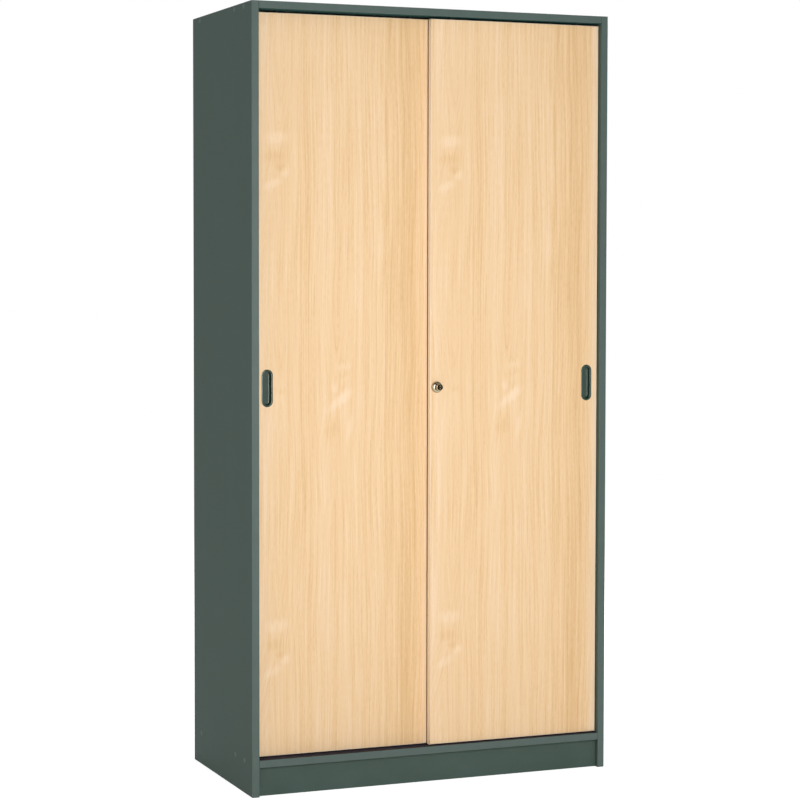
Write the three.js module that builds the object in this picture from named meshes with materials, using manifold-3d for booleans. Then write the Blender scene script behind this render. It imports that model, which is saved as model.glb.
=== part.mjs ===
// A tall office cupboard with two sliding doors.
// Millimetres. +Z is up, the doors face -Y, and +X points to the right of someone who stands in front.
// The origin is on the floor, under the middle of the whole piece.

import * as THREE from "three";
import { mergeVertices } from "three/addons/utils/BufferGeometryUtils.js";
import Module from "manifold-3d";

// Driving dimensions

const overall = { width: 1000, depth: 500, height: 2018 };
const board = { thickness: 19 };
// Two pieces that touch keep this much air between them.
const seatGap = 0.3;
// Every cut runs this far past the face that it opens.
const overrun = 1;

const plinth = { height: 75, setback: 14 };
const back = { thickness: 8, inset: 10, grooveDepth: 6 };
const shelf = { thickness: 19, setback: 60, sideGap: 0.7, count: 4, fixedIndex: 1 };

const door = {
  thickness: 16,
  setback: 14,
  gapBetween: 4,
  overlap: 13,
  sideGap: 1.5,
  footGap: 2.4,
  headGap: 6,
};

// A twin channel, let into the board above and the board below the doors.
const track = { channelWidth: 7, channelDepth: 6.5, floor: 2.5, border: 8 };

// A wheel with its axle, in a housing in a pocket of the door's foot.
const wheel = { radius: 13, width: 4.4, chamfer: 0.6, axleRadius: 2, rimAir: 1, edgeInset: 60 };
const housing = { width: 44, height: 28, skin: 3 };

// A sprung pin in a hole of the door's head, with its nose in the upper track.
const guide = {
  bodyRadius: 4.7,
  bodyLength: 22,
  shoulderDrop: 1,
  noseRadius: 3,
  noseChamfer: 1,
  reach: 4.5,
  travel: 6,
  springRoom: 4,
  edgeInset: 60,
};

// A stadium-shaped cup with a flange on the door's face.
const pull = {
  height: 96,
  width: 30,
  rim: 5,
  wall: 1.2,
  flange: 1.2,
  depth: 12,
  edgeInset: 31.5,
  centreHeight: 1041,
};

// A push-cylinder lock: pushed in, its bolt stands beside the other door's edge.
const lock = {
  edgeInset: 18,
  centreHeight: 1037,
  collarRadius: 15,
  collarHeight: 10,
  collarBand: 3,
  mouthRadius: 11.5,
  barrelRadius: 10,
  rearStandOut: 1.5,
  endWall: 4.2,
  cylinderRadius: 8.25,
  cylinderReach: 15,
  travel: 11,
  boltRadius: 4,
  boltReach: 1,
  edgeChamfer: 0.8,
};
const keyPlug = {
  radius: 5.5,
  length: 16,
  standOut: 0.5,
  slotWidth: 1.6,
  slotLength: 7,
  slotDepth: 9,
};

const dowel = { radius: 4, length: 10 };
const pin = {
  holeRadius: 2.5,
  pegLength: 9,
  barrelRadius: 4,
  barrelLength: 9,
  barrelChamfer: 0.8,
  edgeInset: 37,
  pitch: 32,
  spareRows: 1,
};
const screw = {
  capRadius: 6.5,
  capDepth: 2,
  headRadius: 5,
  headDepth: 6,
  shankRadius: 3.2,
  length: 50,
  edgeInset: 64,
  middleRow: 140,
};
const clip = {
  standOut: 5,
  height: 10,
  edgeInset: 4,
  reachIn: 14,
  screwHoleRadius: 1.75,
  upperHeight: 1166,
  lowerHeight: 991,
};

// How many flat sides stand for a round.
const facets = { wheel: 20, lock: 24, screw: 10, pin: 8, guide: 12, dowel: 8, halfRound: 8, dome: 3 };

// Sizes that follow from the driving dimensions

const innerWidth = overall.width - 2 * board.thickness;
const innerFloor = plinth.height + board.thickness;
const innerCeiling = overall.height - board.thickness;
const innerHeight = innerCeiling - innerFloor;
const frontPlane = -overall.depth / 2;
const rearPlane = overall.depth / 2;
const boardLength = innerWidth - 2 * seatGap;

const backRear = rearPlane - back.inset;
const backFront = backRear - back.thickness;

const doorWidth = (innerWidth + door.overlap) / 2 - door.sideGap;
const doorHeight = innerHeight - door.footGap - door.headGap;
const doorFoot = innerFloor + door.footGap;
const frontDoorFace = frontPlane + door.setback;
const rearDoorFace = frontDoorFace + door.thickness + door.gapBetween;
const doorOffset = (innerWidth - doorWidth) / 2 - door.sideGap;

const doorMiddles = [frontDoorFace, rearDoorFace].map((face) => face + door.thickness / 2);
const trackMargin = track.channelWidth / 2 + track.border;
const trackFront = doorMiddles[0] - trackMargin;
const trackRear = doorMiddles[1] + trackMargin;
const trackHeight = track.channelDepth + track.floor;

const compartmentHeight = (innerHeight - shelf.count * shelf.thickness) / (shelf.count + 1);
const shelfFront = frontPlane + shelf.setback;
const shelfRear = backFront - seatGap;
const shelfBottom = (index) => innerFloor + (index + 1) * compartmentHeight + index * shelf.thickness;
const shelfIndices = [...Array(shelf.count).keys()];
const adjustableIndices = shelfIndices.filter((index) => index !== shelf.fixedIndex);

// The lock's nose and the back clips stand out of the carcass by different amounts.
const lockNose = frontDoorFace - lock.collarHeight - lock.cylinderReach - keyPlug.standOut;
const middleOfDepth = (lockNose + rearPlane + clip.standOut) / 2;

// Closed meshes as solids, to join and cut them

const wasm = await Module();
wasm.setup();

function solidOf(geometry) {
  const bare = geometry.clone();
  bare.deleteAttribute("normal");
  bare.deleteAttribute("uv");
  const merged = mergeVertices(bare);
  return new wasm.Manifold(
    new wasm.Mesh({
      numProp: 3,
      vertProperties: merged.attributes.position.array,
      triVerts: new Uint32Array(merged.index.array),
    }),
  );
}

function geometryOf(solid) {
  const mesh = solid.getMesh();
  const geometry = new THREE.BufferGeometry();
  geometry.setAttribute("position", new THREE.BufferAttribute(mesh.vertProperties, 3));
  geometry.setIndex(new THREE.BufferAttribute(mesh.triVerts, 1));
  const faceted = geometry.toNonIndexed();
  faceted.computeVertexNormals();
  return faceted;
}

function join(geometries) {
  return geometryOf(geometries.map(solidOf).reduce((sum, next) => sum.add(next)));
}

function cut(geometry, tools) {
  return geometryOf(tools.map(solidOf).reduce((left, tool) => left.subtract(tool), solidOf(geometry)));
}

// Basic shapes

// A pair of limits on X, given by distances from the middle of the cupboard on one side of it.
const span = (sign, near, far) => (sign > 0 ? [near, far] : [-far, -near]);
const centred = (size) => [-size / 2, size / 2];

function block([x0, x1], [y0, y1], [z0, z1]) {
  const geometry = new THREE.BoxGeometry(x1 - x0, y1 - y0, z1 - z0);
  return geometry.translate((x0 + x1) / 2, (y0 + y1) / 2, (z0 + z1) / 2);
}

// A turned piece on the Y axis: a profile of radii and heights, counter-clockwise round the material.
function turned(profile, count) {
  return new THREE.LatheGeometry(
    profile.map(([radius, height]) => new THREE.Vector2(radius, height)),
    count,
  );
}

// A round bar on the Y axis between two heights.
function bar(radius, [low, high], count) {
  const profile = [
    [0, low],
    [radius, low],
    [radius, high],
    [0, high],
  ];
  return turned(profile, count);
}

const towardsX = (geometry) => geometry.rotateZ(-Math.PI / 2);
const towardsZ = (geometry) => geometry.rotateX(Math.PI / 2);

// An upright stadium that faces -Y, between two depths.
function stadium(width, height, [y0, y1]) {
  const radius = width / 2;
  const centreHeight = height / 2 - radius;
  const outline = new THREE.Shape();
  outline.absarc(0, centreHeight, radius, 0, Math.PI, false);
  outline.absarc(0, -centreHeight, radius, Math.PI, 2 * Math.PI, false);
  const options = { depth: y1 - y0, bevelEnabled: false, curveSegments: facets.halfRound };
  return new THREE.ExtrudeGeometry(outline, options).rotateX(Math.PI / 2).translate(0, y1, 0);
}

// An outline of points in Y and Z, drawn out along X to both sides of the middle.
function drawnAlongX(points, length) {
  const outline = new THREE.Shape(points.map(([y, z]) => new THREE.Vector2(y, z)));
  const geometry = new THREE.ExtrudeGeometry(outline, { depth: length, bevelEnabled: false });
  const axes = [new THREE.Vector3(0, 1, 0), new THREE.Vector3(0, 0, 1), new THREE.Vector3(1, 0, 0)];
  return geometry.translate(0, 0, -length / 2).applyMatrix4(new THREE.Matrix4().makeBasis(...axes));
}

// Finishes

const finishes = {
  carcassBoard: { color: 0x5f6f69, roughness: 0.55, metalness: 0 },
  beechBoard: { color: 0xf0cfa2, roughness: 0.5, metalness: 0 },
  pullPlastic: { color: 0x46524f, roughness: 0.35, metalness: 0 },
  trackPlastic: { color: 0x2f2b28, roughness: 0.4, metalness: 0 },
  capPlastic: { color: 0x66736e, roughness: 0.5, metalness: 0 },
  blackPlastic: { color: 0x26282a, roughness: 0.45, metalness: 0 },
  nylon: { color: 0xd9d8d0, roughness: 0.4, metalness: 0 },
  nickel: { color: 0xc9c8c2, roughness: 0.25, metalness: 1 },
  steel: { color: 0xb4b6b8, roughness: 0.35, metalness: 1 },
};

function piece(name, finish, geometry, place = [0, 0, 0], turn = [0, 0, 0]) {
  const mesh = new THREE.Mesh(geometry, new THREE.MeshStandardMaterial(finishes[finish]));
  mesh.name = name;
  mesh.position.set(...place);
  mesh.rotation.set(...turn);
  return mesh;
}

const signs = { left: -1, right: 1 };
const hands = Object.keys(signs);

// Corner screws with their caps

const screwRows = {
  front: frontPlane + screw.edgeInset,
  middle: frontPlane + screw.middleRow,
  rear: rearPlane - screw.edgeInset,
};
const screwLevels = {
  bottom: innerFloor - board.thickness / 2,
  top: innerCeiling + board.thickness / 2,
};
// A screw lies on Y when it is turned: this lays it down so that it points into the cupboard.
const inwardTurn = (sign) => (sign * Math.PI) / 2;

// From the cap's face inwards, with some air all round and its start at a height.
function screwShape(air, start) {
  const profile = [
    [0, start],
    [screw.capRadius + air, start],
    [screw.capRadius + air, screw.capDepth + air],
    [screw.headRadius + air, screw.capDepth + air],
    [screw.headRadius + air, screw.headDepth + air],
    [screw.shankRadius + air, screw.headDepth + air],
    [screw.shankRadius + air, screw.length + air],
    [0, screw.length + air],
  ];
  return turned(profile, facets.screw);
}

function cornerScrews() {
  return hands.flatMap((hand) =>
    Object.entries(screwLevels).flatMap(([level, z]) =>
      Object.entries(screwRows).map(([row, y]) => {
        const place = [(signs[hand] * overall.width) / 2, y, z];
        const turn = [0, 0, inwardTurn(signs[hand])];
        return piece(`corner_screw_${hand}_${level}_${row}`, "capPlastic", screwShape(0, 0), place, turn);
      }),
    ),
  );
}

function screwHoles(sign, level) {
  return Object.values(screwRows).map((y) =>
    screwShape(seatGap, -overrun)
      .rotateZ(inwardTurn(sign))
      .translate((sign * overall.width) / 2, y, level),
  );
}

// Shelf pins and dowels

const pinRows = { front: shelfFront + pin.edgeInset, rear: shelfRear - pin.edgeInset };
const dowelRows = [pinRows.front, (pinRows.front + pinRows.rear) / 2, pinRows.rear];
const pinLevel = (index) => shelfBottom(index) - seatGap - pin.barrelRadius;
const spareSteps = [...Array(2 * pin.spareRows + 1).keys()].map((step) => step - pin.spareRows);

// From the peg in the side panel to the barrel's end in the cupboard.
function shelfPinShape() {
  const pegRadius = pin.holeRadius - seatGap;
  const barrelEnd = seatGap + pin.barrelLength;
  const profile = [
    [0, -pin.pegLength],
    [pegRadius, -pin.pegLength],
    [pegRadius, seatGap],
    [pin.barrelRadius, seatGap],
    [pin.barrelRadius, barrelEnd - pin.barrelChamfer],
    [pin.barrelRadius - pin.barrelChamfer, barrelEnd],
    [0, barrelEnd],
  ];
  return turned(profile, facets.pin);
}

function shelfPins() {
  return adjustableIndices.flatMap((index, order) =>
    hands.flatMap((hand) =>
      Object.entries(pinRows).map(([row, y]) => {
        const place = [(signs[hand] * innerWidth) / 2, y, pinLevel(index)];
        const turn = [0, 0, inwardTurn(signs[hand])];
        return piece(`shelf_pin_${order + 1}_${hand}_${row}`, "steel", shelfPinShape(), place, turn);
      }),
    ),
  );
}

// A round hole in the inner face of a side panel.
function innerFaceHole(sign, radius, depth, [y, z], count) {
  const limits = span(sign, innerWidth / 2 - overrun, innerWidth / 2 + depth);
  return towardsX(bar(radius, limits, count)).translate(0, y, z);
}

function pinHoles(sign) {
  return adjustableIndices.flatMap((index) =>
    spareSteps.flatMap((step) =>
      Object.values(pinRows).map((y) => {
        const z = pinLevel(index) + step * pin.pitch;
        return innerFaceHole(sign, pin.holeRadius, pin.pegLength + seatGap, [y, z], facets.pin);
      }),
    ),
  );
}

const fixedShelfMiddle = shelfBottom(shelf.fixedIndex) + shelf.thickness / 2;

function dowelHoles(sign) {
  const radius = dowel.radius + seatGap;
  return dowelRows.map((y) => innerFaceHole(sign, radius, dowel.length, [y, fixedShelfMiddle], facets.dowel));
}

// Carcass boards

function sidePanel(sign) {
  const panel = block(
    span(sign, innerWidth / 2, overall.width / 2),
    [frontPlane, rearPlane],
    [0, overall.height],
  );
  const groove = block(
    span(sign, innerWidth / 2 - overrun, innerWidth / 2 + back.grooveDepth),
    [backFront - seatGap, backRear + seatGap],
    [innerFloor - back.grooveDepth, innerCeiling + back.grooveDepth],
  );
  const screws = Object.values(screwLevels).flatMap((level) => screwHoles(sign, level));
  return cut(panel, [groove, ...screws, ...pinHoles(sign), ...dowelHoles(sign)]);
}

// The board above or below the doors: its inner face is at a height, and up says which way that face looks.
function crossPanel(innerFace, up, level) {
  const through = centred(overall.width);
  const between = (a, b) => [Math.min(a, b), Math.max(a, b)];
  const into = (depth) => between(innerFace - up * depth, innerFace + up * overrun);
  const heights = between(innerFace - up * board.thickness, innerFace);
  const panel = block(centred(boardLength), [frontPlane, rearPlane], heights);
  const trackBed = block(through, [trackFront - seatGap, trackRear + seatGap], into(trackHeight + seatGap));
  const groove = block(through, [backFront - seatGap, backRear + seatGap], into(back.grooveDepth));
  return cut(panel, [trackBed, groove, ...Object.values(signs).flatMap((sign) => screwHoles(sign, level))]);
}

function backPanel() {
  return block(
    centred(innerWidth + 2 * (back.grooveDepth - seatGap)),
    [backFront, backRear],
    [innerFloor - back.grooveDepth + seatGap, innerCeiling + back.grooveDepth - seatGap],
  );
}

function frontPlinth() {
  const face = frontPlane + plinth.setback;
  return block(centred(boardLength), [face, face + board.thickness], [0, plinth.height - seatGap]);
}

function adjustableShelf(index) {
  const bottom = shelfBottom(index);
  return block(
    centred(innerWidth - 2 * shelf.sideGap),
    [shelfFront, shelfRear],
    [bottom, bottom + shelf.thickness],
  );
}

// The fixed shelf with its glued dowels, which stand out of both ends.
function fixedShelf() {
  const bottom = shelfBottom(shelf.fixedIndex);
  const panel = block(centred(boardLength), [shelfFront, shelfRear], [bottom, bottom + shelf.thickness]);
  const dowels = Object.values(signs).flatMap((sign) =>
    dowelRows.map((y) => {
      const limits = span(sign, boardLength / 2 - dowel.length, boardLength / 2 + dowel.length);
      return towardsX(bar(dowel.radius, limits, facets.dowel)).translate(0, y, fixedShelfMiddle);
    }),
  );
  return join([panel, ...dowels]);
}

// Tracks

// The section of a track with its mouth at height zero, opening up or down.
function trackShape(up) {
  const floor = -up * track.channelDepth;
  const base = -up * trackHeight;
  const mouths = doorMiddles.flatMap((middle) => {
    const [near, far] = centred(track.channelWidth).map((edge) => middle + edge);
    return [
      [near, 0],
      [near, floor],
      [far, floor],
      [far, 0],
    ];
  });
  const before = [
    [trackFront, base],
    [trackFront, 0],
  ];
  const behind = [
    [trackRear, 0],
    [trackRear, base],
  ];
  return drawnAlongX([...before, ...mouths, ...behind], boardLength);
}

// Clips behind the back panel

function backClip(sign) {
  const outer = rearPlane + clip.standOut;
  const inner = innerWidth / 2 - clip.reachIn;
  const plate = block(
    span(sign, inner, overall.width / 2 - clip.edgeInset),
    [rearPlane + seatGap, outer],
    centred(clip.height),
  );
  const leg = block(
    span(sign, inner, innerWidth / 2 - seatGap),
    [backRear + seatGap, outer],
    centred(clip.height),
  );
  const holeX = (sign * (innerWidth + board.thickness)) / 2;
  const hole = bar(clip.screwHoleRadius, [rearPlane, outer + overrun], facets.screw).translate(holeX, 0, 0);
  return cut(join([plate, leg]), [hole]);
}

function backClips() {
  const levels = { upper: clip.upperHeight, lower: clip.lowerHeight };
  return hands.flatMap((hand) =>
    Object.entries(levels).map(([level, z]) =>
      piece(`back_clip_${hand}_${level}`, "capPlastic", backClip(signs[hand]), [0, 0, z]),
    ),
  );
}

function carcass() {
  const group = new THREE.Group();
  group.add(
    piece("left_side_panel", "carcassBoard", sidePanel(signs.left)),
    piece("right_side_panel", "carcassBoard", sidePanel(signs.right)),
    piece("bottom_panel", "carcassBoard", crossPanel(innerFloor, 1, screwLevels.bottom)),
    piece("top_panel", "carcassBoard", crossPanel(innerCeiling, -1, screwLevels.top)),
    piece("front_plinth", "carcassBoard", frontPlinth()),
    piece("back_panel", "carcassBoard", backPanel()),
    piece("fixed_middle_shelf", "carcassBoard", fixedShelf()),
    ...adjustableIndices.map((index, order) =>
      piece(`adjustable_shelf_${order + 1}`, "carcassBoard", adjustableShelf(index)),
    ),
    piece("bottom_track", "trackPlastic", trackShape(1), [0, 0, innerFloor]),
    piece("top_track", "trackPlastic", trackShape(-1), [0, 0, innerCeiling]),
    ...cornerScrews(),
    ...shelfPins(),
    ...backClips(),
  );
  return group;
}

// Door furniture. A door's own frame: the middle of its width, its front face, its foot.

const wheelX = doorWidth / 2 - wheel.edgeInset;
const wheelHeight = wheel.radius + seatGap - track.channelDepth - door.footGap;
const guideX = doorWidth / 2 - guide.edgeInset;
const pullX = doorWidth / 2 - pull.edgeInset;
const pullHeight = pull.centreHeight - doorFoot;
const lockX = lock.edgeInset - doorWidth / 2;
const lockHeight = lock.centreHeight - doorFoot;

// A wheel, chamfered at its rim, with an axle that reaches through both cheeks of its housing.
function wheelShape() {
  const face = wheel.width / 2;
  const axleFront = housing.skin + 2 * seatGap - door.thickness / 2;
  const axleRear = door.thickness / 2 - seatGap;
  const profile = [
    [0, axleFront],
    [wheel.axleRadius, axleFront],
    [wheel.axleRadius, -face],
    [wheel.radius - wheel.chamfer, -face],
    [wheel.radius, wheel.chamfer - face],
    [wheel.radius, face - wheel.chamfer],
    [wheel.radius - wheel.chamfer, face],
    [wheel.axleRadius, face],
    [wheel.axleRadius, axleRear],
    [0, axleRear],
  ];
  return turned(profile, facets.wheel);
}

// The housing in its pocket, flush with the door's back, with a slot for the wheel and holes for the axle.
function housingShape() {
  const middle = door.thickness / 2;
  const halfSlot = wheel.width / 2 + seatGap;
  const slotReach = wheel.radius + wheel.rimAir;
  const body = block(centred(housing.width), [housing.skin + seatGap, door.thickness], [0, housing.height]);
  const slot = block(
    centred(2 * slotReach),
    [middle - halfSlot, middle + halfSlot],
    [-overrun, wheelHeight + slotReach],
  );
  const axleHole = bar(
    wheel.axleRadius + seatGap,
    [housing.skin - overrun, door.thickness + overrun],
    facets.wheel,
  );
  return cut(body, [slot, axleHole.translate(0, 0, wheelHeight)]);
}

function housingPocket(x) {
  const limits = centred(housing.width + 2 * seatGap).map((edge) => x + edge);
  return block(limits, [housing.skin, door.thickness + overrun], [-overrun, housing.height + seatGap]);
}

// A guide pin on the Y axis with height zero at the door's head.
function guideShape() {
  const noseTop = door.headGap + guide.reach;
  const profile = [
    [0, -guide.bodyLength],
    [guide.bodyRadius, -guide.bodyLength],
    [guide.bodyRadius, -guide.shoulderDrop],
    [guide.noseRadius, -guide.shoulderDrop],
    [guide.noseRadius, noseTop - guide.noseChamfer],
    [guide.noseRadius - guide.noseChamfer, noseTop],
    [0, noseTop],
  ];
  return turned(profile, facets.guide);
}

function guideHole(x) {
  const bottom = -guide.bodyLength - guide.travel - guide.springRoom;
  const hole = towardsZ(bar(guide.bodyRadius + seatGap, [bottom, overrun], facets.guide));
  return hole.translate(x, door.thickness / 2, doorHeight);
}

// The pull's outline at its recess, grown by some amount all round.
function recess(grown, depths) {
  const shrink = 2 * (grown - pull.rim);
  return stadium(pull.width + shrink, pull.height + shrink, depths);
}

function pullShape() {
  const front = -seatGap - pull.flange;
  const flange = stadium(pull.width, pull.height, [front, -seatGap]);
  const cup = recess(pull.wall, [front, pull.depth]);
  return cut(join([flange, cup]), [recess(0, [front - overrun, pull.depth - pull.wall])]);
}

function pullPocket(x) {
  return recess(pull.wall + seatGap, [-overrun, pull.depth + seatGap]).translate(x, 0, pullHeight);
}

// Lock

const lockRear = door.thickness + lock.rearStandOut;
const boreEnd = lockRear - lock.endWall;
const cylinderFront = -lock.collarHeight - lock.cylinderReach;
const plugFront = cylinderFront - keyPlug.standOut;

// The collar's round side, a quarter of an ellipse from its band to its mouth.
function collarDome() {
  const bandFront = -seatGap - lock.collarBand;
  const drop = lock.collarRadius - lock.mouthRadius;
  const rise = bandFront + lock.collarHeight;
  return [...Array(facets.dome + 1).keys()].map((step) => {
    const angle = (step / facets.dome) * (Math.PI / 2);
    return [lock.mouthRadius + drop * Math.sin(angle), bandFront - rise * Math.cos(angle)];
  });
}

function lockHousingShape() {
  const bore = lock.cylinderRadius + seatGap;
  const boltHole = lock.boltRadius + seatGap;
  const profile = [
    [boltHole, lockRear],
    [boltHole, boreEnd],
    [bore, boreEnd],
    [bore, -lock.collarHeight],
    ...collarDome(),
    [lock.collarRadius, -seatGap],
    [lock.barrelRadius, -seatGap],
    [lock.barrelRadius, lockRear],
    [boltHole, lockRear],
  ];
  return turned(profile, facets.lock);
}

function lockCylinderShape() {
  const plugRoom = keyPlug.radius + seatGap;
  const plugFloor = plugFront + keyPlug.length + seatGap;
  const shoulder = boreEnd - lock.travel - seatGap;
  const boltTip = door.thickness + lock.boltReach;
  const profile = [
    [0, plugFloor],
    [plugRoom, plugFloor],
    [plugRoom, cylinderFront],
    [lock.cylinderRadius - lock.edgeChamfer, cylinderFront],
    [lock.cylinderRadius, cylinderFront + lock.edgeChamfer],
    [lock.cylinderRadius, shoulder],
    [lock.boltRadius, shoulder],
    [lock.boltRadius, boltTip - lock.edgeChamfer],
    [lock.boltRadius - lock.edgeChamfer, boltTip],
    [0, boltTip],
  ];
  return turned(profile, facets.lock);
}

function keyPlugShape() {
  const plug = bar(keyPlug.radius, [plugFront, plugFront + keyPlug.length], facets.lock);
  const slot = block(
    centred(keyPlug.slotWidth),
    [plugFront - overrun, plugFront + keyPlug.slotDepth],
    centred(keyPlug.slotLength),
  );
  return cut(plug, [slot]);
}

function lockPieces() {
  const place = [lockX, 0, lockHeight];
  return [
    piece("lock_housing", "nickel", lockHousingShape(), place),
    piece("lock_cylinder", "nickel", lockCylinderShape(), place),
    piece("lock_key_plug", "nickel", keyPlugShape(), place),
  ];
}

function lockHole() {
  const hole = bar(lock.barrelRadius + seatGap, [-overrun, door.thickness + overrun], facets.lock);
  return hole.translate(lockX, 0, lockHeight);
}

// Doors

// One door, with what both doors carry. Its pull is at its outer edge.
function slidingDoor(hand, face, extraCuts) {
  const name = `${hand}_door`;
  const sign = signs[hand];
  const slab = block(centred(doorWidth), [0, door.thickness], [0, doorHeight]);
  const bothEnds = Object.values(signs);
  const cuts = [
    pullPocket(sign * pullX),
    ...bothEnds.map((end) => housingPocket(end * wheelX)),
    ...bothEnds.map((end) => guideHole(end * guideX)),
    ...extraCuts,
  ];
  const group = new THREE.Group();
  group.position.set(sign * doorOffset, face, doorFoot);
  group.add(
    piece(`${name}_panel`, "beechBoard", cut(slab, cuts)),
    piece(`${name}_pull`, "pullPlastic", pullShape(), [sign * pullX, 0, pullHeight]),
  );
  for (const end of hands) {
    const x = signs[end] * wheelX;
    const wheelPlace = [x, door.thickness / 2, wheelHeight];
    const guidePlace = [signs[end] * guideX, door.thickness / 2, doorHeight];
    group.add(
      piece(`${name}_roller_housing_${end}`, "blackPlastic", housingShape(), [x, 0, 0]),
      piece(`${name}_roller_wheel_${end}`, "nylon", wheelShape(), wheelPlace),
      piece(`${name}_top_guide_${end}`, "nylon", guideShape(), guidePlace, [Math.PI / 2, 0, 0]),
    );
  }
  return group;
}

const cupboard = new THREE.Group();
const leftDoor = slidingDoor("left", rearDoorFace, []);
const rightDoor = slidingDoor("right", frontDoorFace, [lockHole()]);
rightDoor.add(...lockPieces());
cupboard.add(carcass(), leftDoor, rightDoor);
cupboard.position.set(0, -middleOfDepth, 0);

export default cupboard;
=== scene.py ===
# %% [markdown]
# # A tall cupboard with two sliding doors
# The solids of this cupboard are finished: they carry, slide and turn. This lesson gives them their looks.
# It loads the solids as a fixed frame, builds a finer mesh in the place of each one, and gives every mesh
# the finish of the real material. All lengths are in metres. +Z is up and the doors face -Y.

# %% Load the frame
import math
from types import SimpleNamespace

import bmesh
import bpy
from mathutils import Matrix, Vector


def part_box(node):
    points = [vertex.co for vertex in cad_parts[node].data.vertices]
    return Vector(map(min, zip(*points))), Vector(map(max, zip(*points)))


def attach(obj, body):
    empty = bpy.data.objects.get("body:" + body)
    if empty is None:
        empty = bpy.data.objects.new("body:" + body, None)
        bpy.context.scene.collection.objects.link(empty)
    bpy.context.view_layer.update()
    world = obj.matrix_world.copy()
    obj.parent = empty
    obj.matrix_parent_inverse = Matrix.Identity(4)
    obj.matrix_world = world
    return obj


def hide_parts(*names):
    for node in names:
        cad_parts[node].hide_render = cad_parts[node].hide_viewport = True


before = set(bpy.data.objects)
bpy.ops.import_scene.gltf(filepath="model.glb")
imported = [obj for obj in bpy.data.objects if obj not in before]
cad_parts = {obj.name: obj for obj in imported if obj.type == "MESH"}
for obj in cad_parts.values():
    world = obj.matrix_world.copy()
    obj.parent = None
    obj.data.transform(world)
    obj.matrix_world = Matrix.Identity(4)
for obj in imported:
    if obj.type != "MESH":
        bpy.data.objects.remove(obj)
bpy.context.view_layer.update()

# %% [markdown]
# ## Sizes, colours and nodes
# A drawing gives its sizes in millimetres, so they are written that way here and kept in metres. Colours
# are written as a screen shows them, in sRGB hex, and one function turns them into the linear values that
# a shader needs. A node tree is the same few moves again and again: add a node, set it, link it. So one
# small function does just that, for shaders and for Geometry Nodes alike. It takes a node's inputs as a
# list, in the order of its sockets, or as a dictionary of socket names or numbers.

# %% Helpers for sizes, colours and nodes
MM = 0.001


def in_mm(**sizes):
    """Named sizes, given in millimetres and kept in metres."""
    return SimpleNamespace(**{name: size * MM for name, size in sizes.items()})


def linear(hex_colour):
    """An sRGB hex colour as a linear RGBA value."""
    channels = [int(hex_colour[start:start + 2], 16) / 255 for start in (1, 3, 5)]
    return [c / 12.92 if c <= 0.04045 else ((c + 0.055) / 1.055) ** 2.4 for c in channels] + [1]


def add_node(tree, kind, inputs=(), **settings):
    """Adds a node, sets its properties, and sets each input or links it to a socket or a node."""
    node = tree.nodes.new(kind)
    for name, value in settings.items():
        setattr(node, name, value)
    pairs = inputs.items() if isinstance(inputs, dict) else enumerate(inputs)
    for socket, value in pairs:
        source = value.outputs[0] if isinstance(value, bpy.types.Node) else value
        if isinstance(source, bpy.types.NodeSocket):
            tree.links.new(source, node.inputs[socket])
        else:
            node.inputs[socket].default_value = source
    return node


def new_material(name):
    """A material and its node tree, still empty."""
    material = bpy.data.materials.new(name)
    material.use_nodes = True
    material.node_tree.nodes.clear()
    return material, material.node_tree


def end_material(tree, inputs):
    """Ends a material's tree with the shader for solid things."""
    shader = add_node(tree, "ShaderNodeBsdfPrincipled", inputs)
    add_node(tree, "ShaderNodeOutputMaterial", [shader])


print("board green as linear values:", [round(value, 3) for value in linear("#4f5f58")])

# %% [markdown]
# ## The camera
# A product photograph is taken from far away with a long lens, so that upright edges stay upright. This
# one stands to the left, at chest height, and looks down very slightly. A camera looks along its own -Z,
# so an unturned one looks straight down. Three rotations aim it, and they work from the right: a trace of
# roll, the tip up to nearly level, and the swing towards the cupboard.

# %% Place the camera
YAW = math.radians(22.146)
PITCH = math.radians(2.578)
ROLL = math.radians(-0.096)
LEVEL = math.radians(90)
CAMERA_PLACE = (-2.3447, -5.7692, 1.3574)
FOCAL_LENGTH = 103.78
SHIFT_UP = -0.04
studio = bpy.context.scene


def add_object(name, data):
    """Puts a camera, a lamp or a mesh into the scene under a name."""
    thing = bpy.data.objects.new(name, data)
    studio.collection.objects.link(thing)
    return thing


lens = bpy.data.cameras.new("camera")
lens.lens = FOCAL_LENGTH
lens.shift_y = SHIFT_UP
camera = add_object("camera", lens)
tip_up = Matrix.Rotation(LEVEL - PITCH, 4, "X")
aim = Matrix.Rotation(-YAW, 4, "Z") @ tip_up @ Matrix.Rotation(-ROLL, 4, "Z")
camera.matrix_world = Matrix.Translation(CAMERA_PLACE) @ aim
studio.camera = camera
studio.view_settings.view_transform = "Standard"
print("the camera stands", round(camera.location.length, 2), "m from the cupboard's foot")

# %% [markdown]
# ## Studio light
# The cupboard stands in a white studio. The world lights it softly from all sides. Three lamps shape it: a
# tall one nearly straight in front of the doors, so that the frame throws only narrow shadows on them,
# another beside the left panel, and one high behind the right rear corner, for the back and the top. Camera
# and mirror rays see pure white, which lights nothing: so the background is white and the doors are no
# brighter for it. Only the ceiling is dark in a mirror, which gives the metal its contrast.

# %% Light the studio
WHITE = (1, 1, 1, 1)
SKY_LIGHT = 0.4
CEILING_IN_MIRROR = 0.04
CEILING_START, CEILING_FULL = 0.2, 0.4
# Lamps: place, target, width, height and power in watts.
lamps = {
    "front_lamp": ((-0.42, -3.3, 1.3), (0, 0, 1.15), 0.6, 1.4, 53),
    "left_lamp": ((-3.2, -0.5, 1.8), (-0.5, -0.2, 1.4), 0.5, 1.6, 15),
    "rear_lamp": ((2.4, 2.8, 2.8), (0, 0, 1.2), 1.8, 1.6, 100),
}


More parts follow.
